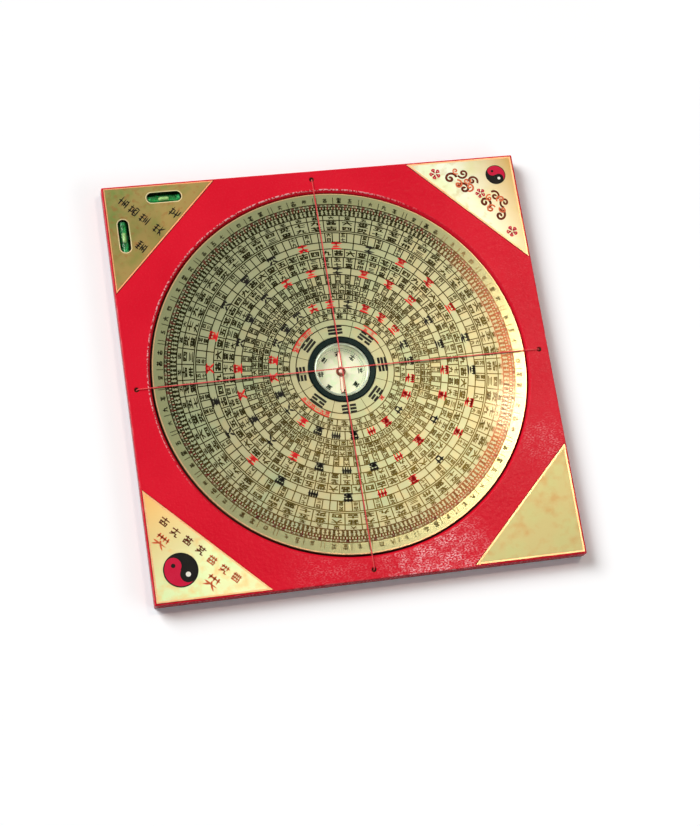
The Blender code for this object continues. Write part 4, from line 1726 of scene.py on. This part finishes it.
@dataclass
class Threads:
    """The two sighting threads, each of two plies, with a knot at each end.

    A loop of a knot has its height, its tilt and its turn in radians.
    """

    hole_reach: float = 0.11944
    lip_height: float = 0.01055
    gap: float = 0.0001
    bend: float = 0.0014
    bend_steps: int = 4
    bezel_reach: float = 0.01985
    crossing_reach: float = 0.0005
    knot_height: float = 0.00115
    ply_radius: float = 0.00020
    ply_offset: float = 0.00017
    pitch: float = 0.0020
    steps_per_turn: int = 10
    weld: float = 0.000002
    knot_radius: float = 0.00084
    loop_radius: float = 0.00033
    loop_lift: float = 0.00012
    loops: tuple[Triple, ...] = ((0.00065, 0.30, 0.4), (0.00105, -0.35, 1.6), (0.00150, 0.25, 2.9))

    def build(self, fibre: Material) -> None:
        """Lay both threads and take the place of their plain solids.

        Args:
            fibre: Material of the threads.
        """
        radius = self.ply_radius + self.ply_offset
        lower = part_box("capsule_bezel")[1].z + self.gap + radius
        self._thread("thread_ns", self._route(lower, self.bezel_reach), 90.0, fibre)
        self._thread("thread_ew", self._route(lower + 2 * radius, self.crossing_reach), 0.0, fibre)

    def _route(self, middle: float, reach: float) -> list[Point]:
        """Centre line from knot to knot as distance along the board and height.

        Args:
            middle: Height over the middle of the dial.
            reach: Distance from the middle where the thread starts to fall.

        Returns:
            The points of the line.
        """
        half = [(self.hole_reach, self.knot_height)]
        for i in range(self.bend_steps + 1):
            angle = math.pi / 2 * i / self.bend_steps
            x = self.hole_reach - self.bend + self.bend * math.cos(angle)
            half.append((x, self.lip_height - self.bend + self.bend * math.sin(angle)))
        half.append((reach, middle))
        return half + [(-x, z) for x, z in reversed(half)]

    def _thread(self, node: str, route: Sequence[Point], turn: float, fibre: Material) -> None:
        """Twist two plies, bend them along the route and tie the knots.

        Args:
            node: CAD node that the thread stands for.
            route: Its centre line.
            turn: Degrees that it is turned on the board.
            fibre: Its material.
        """
        rope = self._rope(sum(math.dist(a, b) for a, b in zip(route, route[1:])))
        guide = self._guide(route)
        bend = rope.modifiers.new("route", "CURVE")
        bend.object, bend.deform_axis = guide, "POS_X"
        Bench.apply(rope)
        bpy.data.objects.remove(guide)
        knots = [loop for side in (-1, 1) for loop in self._knot(side * self.hole_reach)]
        thread = Bench.join(f"{node}_twisted", [rope, *knots])
        thread.data.transform(turned(turn))
        thread.data.shade_smooth()
        Bench.outward(thread)
        Bench.mount(thread, fibre, "base", "red_thread")
        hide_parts(node)

    def _rope(self, length: float) -> Object:
        """Twist two plies round X.

        Args:
            length: Length of the rope.

        Returns:
            The rope.
        """
        plies = []
        turns = max(1, round(length / self.pitch))
        for half_turn in (0.0, 180.0):
            ply = Bench.circle("ply", 6, self.ply_radius, filled=False)
            ply.data.transform(turned(half_turn, "X") @ moved(0.0, self.ply_offset) @ turned(90.0, "Y"))
            twist = ply.modifiers.new("twist", "SCREW")
            twist.axis = "X"
            twist.iterations, twist.screw_offset = turns, length / turns
            twist.steps = twist.render_steps = self.steps_per_turn
            Bench.apply(ply)
            with Bench.edit(ply):
                bpy.ops.mesh.remove_doubles(threshold=self.weld)
                bpy.ops.mesh.fill_holes(sides=0)
            plies.append(ply)
        return Bench.join("rope", plies)

    @staticmethod
    def _guide(route: Sequence[Point]) -> Object:
        """Draw a curve through the route in the XZ plane.

        Args:
            route: The points.

        Returns:
            The curve.
        """
        curve = bpy.data.curves.new("guide", "CURVE")
        curve.dimensions = "3D"
        curve.twist_mode = "MINIMUM"
        spline = curve.splines.new("POLY")
        spline.points.add(len(route) - 1)
        for point, (x, z) in zip(spline.points, route):
            point.co = (x, 0.0, z, 1.0)
        guide = bpy.data.objects.new("guide", curve)
        bpy.context.collection.objects.link(guide)
        return guide

    def _knot(self, reach: float) -> list[Object]:
        """Tie an overhand knot round the thread's end.

        Args:
            reach: Distance of the end from the middle of the board.

        Returns:
            Its loops.
        """
        tied = []
        for height, tilt, spin in self.loops:
            Bench.clear()
            bpy.ops.mesh.primitive_torus_add(
                major_radius=self.knot_radius,
                minor_radius=self.loop_radius,
                major_segments=20,
                minor_segments=8,
                location=(reach, 0.0, height),
                rotation=(tilt, 0.0, spin),
            )
            loop = Bench.named("loop")
            bpy.ops.object.transform_apply(location=True, rotation=True, scale=True)
            with Bench.edit(loop, lambda x, y, z: y > 0.0):
                Bench.slide(0.0, 0.0, self.loop_lift)
            tied.append(loop)
        return tied


@dataclass
class CardPrint:
    """Fine print on the needle capsule's card."""

    long_inner: float = 0.0135
    tick_inner: float = 0.0140
    tick_outer: float = 0.0148
    tick_width: float = 0.00012
    long_width: float = 0.0002
    outer_line: float = 0.00014
    inner_line: float = 0.0001
    number_radius: float = 0.0116
    number_height: float = 0.0029
    ink_height: float = 0.00002
    letters: TypeCase = field(default_factory=TypeCase)

    def build(self, ink: Material) -> None:
        """Print ticks, two circles and eight small numbers.

        Args:
            ink: The ink.
        """
        sheet = Print("card_print")
        sheet.radials(self.tick_inner, self.tick_outer, self.tick_width, 72)
        sheet.radials(self.long_inner, self.tick_outer, self.long_width, 8)
        sheet.ring(self.tick_outer, self.outer_line, 96)
        sheet.ring(self.long_inner, self.inner_line, 96)
        run = [self.letters.letter(13 + 4 * i, Weight.HEAVY) for i in range(8)]
        sheet.around(run, self.number_radius, self.number_height, 8)
        sheet.lay(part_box("capsule_card")[1].z, ink, "dial", "printed_card", self.ink_height)


@dataclass
class Dresser:
    """Gives the CAD nodes that stay on show their finishes."""

    half_side: float = 0.125
    top: float = 0.010
    mouth_radius: float = 0.1125
    band_radius: float = 0.1029
    edge_highlight_radius: float = 0.1093
    polished: Patch = (0.104, -0.036, 0.026, 0.008)
    # Patches of painted glints on the lacquer: x, y, reach and share.
    glint_patches: tuple[Patch, ...] = (
        (0.037, -0.118, 0.038, 1.0), (0.113, -0.056, 0.020, 0.3), (-0.02, -0.118, 0.035, 0.16),
    )

    def build(self) -> None:
        """Put a material into each node's slot."""
        # Lacquer colours: red, deeper red, a pale colour for rubbed corners and painted glints, painted shade
        # on the sides, painted shade in the pockets.
        lacquer = Lacquer(
            rgb(225, 27, 48), rgb(216, 19, 42), rgb(255, 196, 198), rgb(168, 10, 30), rgb(34, 44, 24),
            self.half_side, self.top, self.mouth_radius, self.glint_patches,
        )
        # The four plates are one gold sheet: their different tones are painted light, lit and shaded copies
        # of it, and their drifts paint gradients of light.
        nw = GoldSheet(
            rgb(134, 126, 74), rgb(132, 100, 58), rgb(104, 122, 64), 12.0, 0.36, 1.0, 300.0,
            (0.7, -0.7, -0.168, -0.08),
        )
        ne = GoldSheet(
            rgb(188, 200, 180), rgb(154, 130, 72), rgb(176, 190, 140), -20.0, 0.36, 0.6, 170.0,
            (1.0, 0.3, 0.118, 0.160),
        )
        se = GoldSheet(rgb(150, 146, 100), rgb(150, 122, 76), rgb(144, 152, 104), 35.0, 0.40, 0.7, 170.0)
        sw = GoldSheet(
            rgb(188, 200, 152), rgb(204, 162, 96), rgb(176, 202, 148), 15.0, 0.38, 0.7, 170.0,
            (-0.55, 0.83, -0.035, 0.015),
        )
        # Of the face's colours, the fourth is a painted highlight along the edge and the fifth is painted
        # shade towards the upper left.
        face = DialFinish(
            rgb(134, 137, 107), rgb(144, 136, 98), rgb(124, 137, 107), rgb(194, 156, 112),
            rgb(119, 126, 97), rgb(134, 137, 88), self.band_radius, self.edge_highlight_radius, self.polished,
        )
        tube = Clear(rgb(190, 240, 205), rgb(160, 220, 180), 1.49, 0.22, 1.0, 0.12)
        finishes = {
            "base_frame": lacquer,
            "backing_panel": Board(rgb(64, 22, 20), rgb(112, 60, 48)),
            "corner_plate_nw": nw,
            "corner_plate_ne": ne,
            "corner_plate_sw": sw,
            "corner_plate_se": se,
            "dial_core": Board(rgb(120, 104, 66), rgb(150, 132, 86), 0.5),
            "dial_face": face,
            "capsule_cup": TurnedMetal(rgb(236, 236, 226), rgb(214, 214, 200), 0.42, 0.1),
            # The card's third colour is painted light that it gives off.
            "capsule_card": Card(rgb(236, 232, 204), rgb(208, 224, 180), rgb(250, 255, 214)),
            "pivot_pin": TurnedMetal(rgb(225, 225, 220), rgb(180, 180, 170), 0.18),
            "capsule_glass": Clear(rgb(250, 255, 252), rgb(240, 250, 246), 1.45, 0.04),
            "glass_ring": TurnedMetal(rgb(190, 202, 178), rgb(150, 162, 142), 0.30),
            "capsule_bezel": Enamel(rgb(4, 12, 11), rgb(20, 36, 34), rgb(196, 255, 244)),
            "needle_blade": NeedleSteel(rgb(250, 216, 192), rgb(128, 74, 58), -3.0, 0.0010, 0.0126),
            "needle_cap": TurnedMetal(rgb(255, 222, 200), rgb(240, 190, 160), 0.35, 0.2),
            "needle_ring": TurnedMetal(rgb(120, 58, 38), rgb(78, 34, 26), 0.35, 0.6),
            "level_x_tube": tube,
            "level_x_plug": tube,
            "level_x_spirit": Clear(rgb(64, 224, 126), rgb(36, 178, 94), 1.36, 0.74, 0.1, 0.30),
            "level_x_bubble": Clear(rgb(196, 226, 150), rgb(170, 206, 128), 1.05, 1.0, 0.0, 0.20),
        }
        finishes |= {n.replace("_x_", "_y_"): f for n, f in finishes.items() if n.startswith("level")}
        made: dict[object, Material] = {}
        for node, finish in finishes.items():
            if finish not in made:
                made[finish] = finish.material(f"{node}_finish")
            self.dress(node, made[finish])

    @staticmethod
    def dress(node: str, material: Material) -> None:
        """Assign a material to a node's slots.

        Args:
            node: The CAD node.
            material: Its material.
        """
        for slot in bpy.data.objects[node].material_slots:
            slot.material = material
        LOG.info("%s: %s", node, material.name)


@dataclass(frozen=True)
class Lamp:
    """One soft box that faces the middle of the board, turned by spin degrees about its own axis."""

    name: str
    place: Triple
    width: float
    height: float
    power: float
    colour: Triple
    spin: float = 0.0

    def hang(self) -> None:
        """Hang it in the scene."""
        data = bpy.data.lights.new(self.name, "AREA")
        data.shape = "RECTANGLE"
        data.size, data.size_y = self.width, self.height
        data.energy, data.color = self.power, self.colour
        box = bpy.data.objects.new(self.name, data)
        bpy.context.scene.collection.objects.link(box)
        box.location = self.place
        spin = Quaternion((0.0, 0.0, 1.0), math.radians(self.spin))
        box.rotation_euler = (box.location.to_track_quat("Z", "Y") @ spin).to_euler()


@dataclass
class Studio:
    """Pale floor, soft lights and the photograph's camera."""

    floor_side: float = 2.6
    floor_level: float = -0.0002
    floor_shade: Colour = (0.90, 0.90, 0.90, 1.0)
    floor_near: Colour = (0.955, 0.965, 0.965, 1.0)
    floor_far: Colour = (1.22, 1.233, 1.233, 1.0)
    floor_rim: Colour = (2.0, 2.0, 2.0, 1.0)
    floor_fall: Drift = (0.588, -0.809, -0.31, 0.31)
    rim_start: float = 0.3
    sky_light: float = 0.09
    camera_place: Triple = (-0.21630, -0.32550, 1.07403)
    camera_turn: Triple = (16.9676, -8.9701, -8.9059)
    lens: float = 85.18
    lamps: tuple[Lamp, ...] = (
        Lamp("key", (-1.80, 1.50, 1.90), 1.7, 1.7, 97.0, (0.98, 1.0, 1.02)),
        Lamp("fill", (1.80, 1.30, 1.90), 1.6, 1.6, 4.0, (1.0, 1.0, 1.0)),
        Lamp("window", (0.70, 0.550, 2.14), 0.10, 0.36, 7.4, (1.0, 0.74, 0.60), -25.0),
        Lamp("rim", (2.00, -1.20, 1.30), 2.2, 0.6, 16.0, (0.94, 1.0, 1.04)),
    )

    def build(self) -> None:
        """Set the floor, the world, the lamps and the camera."""
        self._floor()
        self._world()
        for lamp in self.lamps:
            lamp.hang()
        self._camera()

    def _floor(self) -> None:
        """Lay a plain floor that shows white and keeps the object's shadow."""
        Bench.clear()
        bpy.ops.mesh.primitive_plane_add(size=self.floor_side, location=(0.0, 0.0, self.floor_level))
        floor = Bench.named("floor")
        nodes = Nodes("floor_finish")
        white = nodes.blend(nodes.slope(self.floor_fall), self.floor_near, self.floor_far)
        rim = nodes.spread(nodes.radius, self.rim_start, self.floor_side / 2)
        shown = nodes.blend(nodes.seen(), self.floor_shade, nodes.blend(rim, white, self.floor_rim))
        floor.data.materials.append(nodes.done(Roughness=0.9, Specular_IOR_Level=0.0, Base_Color=shown))

    def _world(self) -> None:
        """Make the world white where it is seen or reflected, and softer where it lights."""
        world = bpy.data.worlds.new("studio")
        bpy.context.scene.world = world
        world.use_nodes = True
        sky = Tree(world.node_tree)
        background = world.node_tree.nodes["Background"]
        sky.feed(background.inputs["Color"], (1.0, 1.0, 1.0, 1.0))
        sky.feed(background.inputs["Strength"], sky.spread(sky.seen(), 0.0, 1.0, self.sky_light, 1.0))

    def _camera(self) -> None:
        """Set the camera where the photograph was taken from."""
        data = bpy.data.cameras.new("camera")
        data.sensor_width, data.sensor_fit = 36.0, "AUTO"
        data.lens, data.clip_start = self.lens, 0.01
        camera = bpy.data.objects.new("camera", data)
        bpy.context.scene.collection.objects.link(camera)
        camera.location = self.camera_place
        camera.rotation_euler = [math.radians(angle) for angle in self.camera_turn]
        bpy.context.scene.camera = camera


def dial_inks() -> tuple[Material, Material]:
    """Mix the two inks of the dial, with painted highlight that lightens them towards the lower right and in
    one patch.

    Returns:
        The dark ink of the rings, and the dark red one of the outer scale.
    """
    downward, rightward = (0.55, -0.83, -0.03, 0.07), (0.97, -0.24, 0.045, 0.10)
    scale_start = 0.0945
    # Painted highlight: the inks lighten towards the lower right and the right.
    dark = (
        InkGlare(0.0, downward, rgb(86, 76, 34)),
        InkGlare(scale_start, downward, rgb(74, 56, 32)),
        InkGlare(scale_start, rightward, rgb(136, 82, 50)),
        InkGlare(0.1031, (0.85, -0.53, 0.01, 0.07), rgb(86, 80, 46), 1.0),
    )
    maroon = (InkGlare(scale_start, rightward, rgb(168, 88, 64)),)
    return (
        Ink(rgb(28, 28, 13), rgb(44, 39, 22), 0.32, 0.9, dark, rgb(150, 130, 104)).material("dial_ink"),
        Ink(rgb(76, 20, 16), rgb(96, 44, 32), 0.34, 0.4, maroon, rgb(160, 130, 104)).material("maroon_ink"),
    )


def corners(box: tuple) -> list[list[float]]:
    """Corners of a box as plain lists."""
    return [list(corner) for corner in box]


def main() -> None:
    """Build the sub-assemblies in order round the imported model."""
    logging.basicConfig(level=logging.INFO, format="%(name)s %(message)s")
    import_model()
    bpy.context.scene.view_settings.view_transform = "Standard"
    line, maroon = dial_inks()
    inks = {tone: Ink(*tone.value).material(f"{tone.name.lower()}_ink") for tone in Tone}
    Studio().build()
    Dresser().build()
    DialPrint().build(line, inks[Tone.BLACK], inks[Tone.RED], maroon)
    PlatePrint(inks).build()
    CardPrint().build(inks[Tone.CARD])
    Threads().build(Fibre(rgb(236, 40, 54), rgb(248, 112, 104)).material("thread_fibre"))


if __name__ == "__main__":
    main()
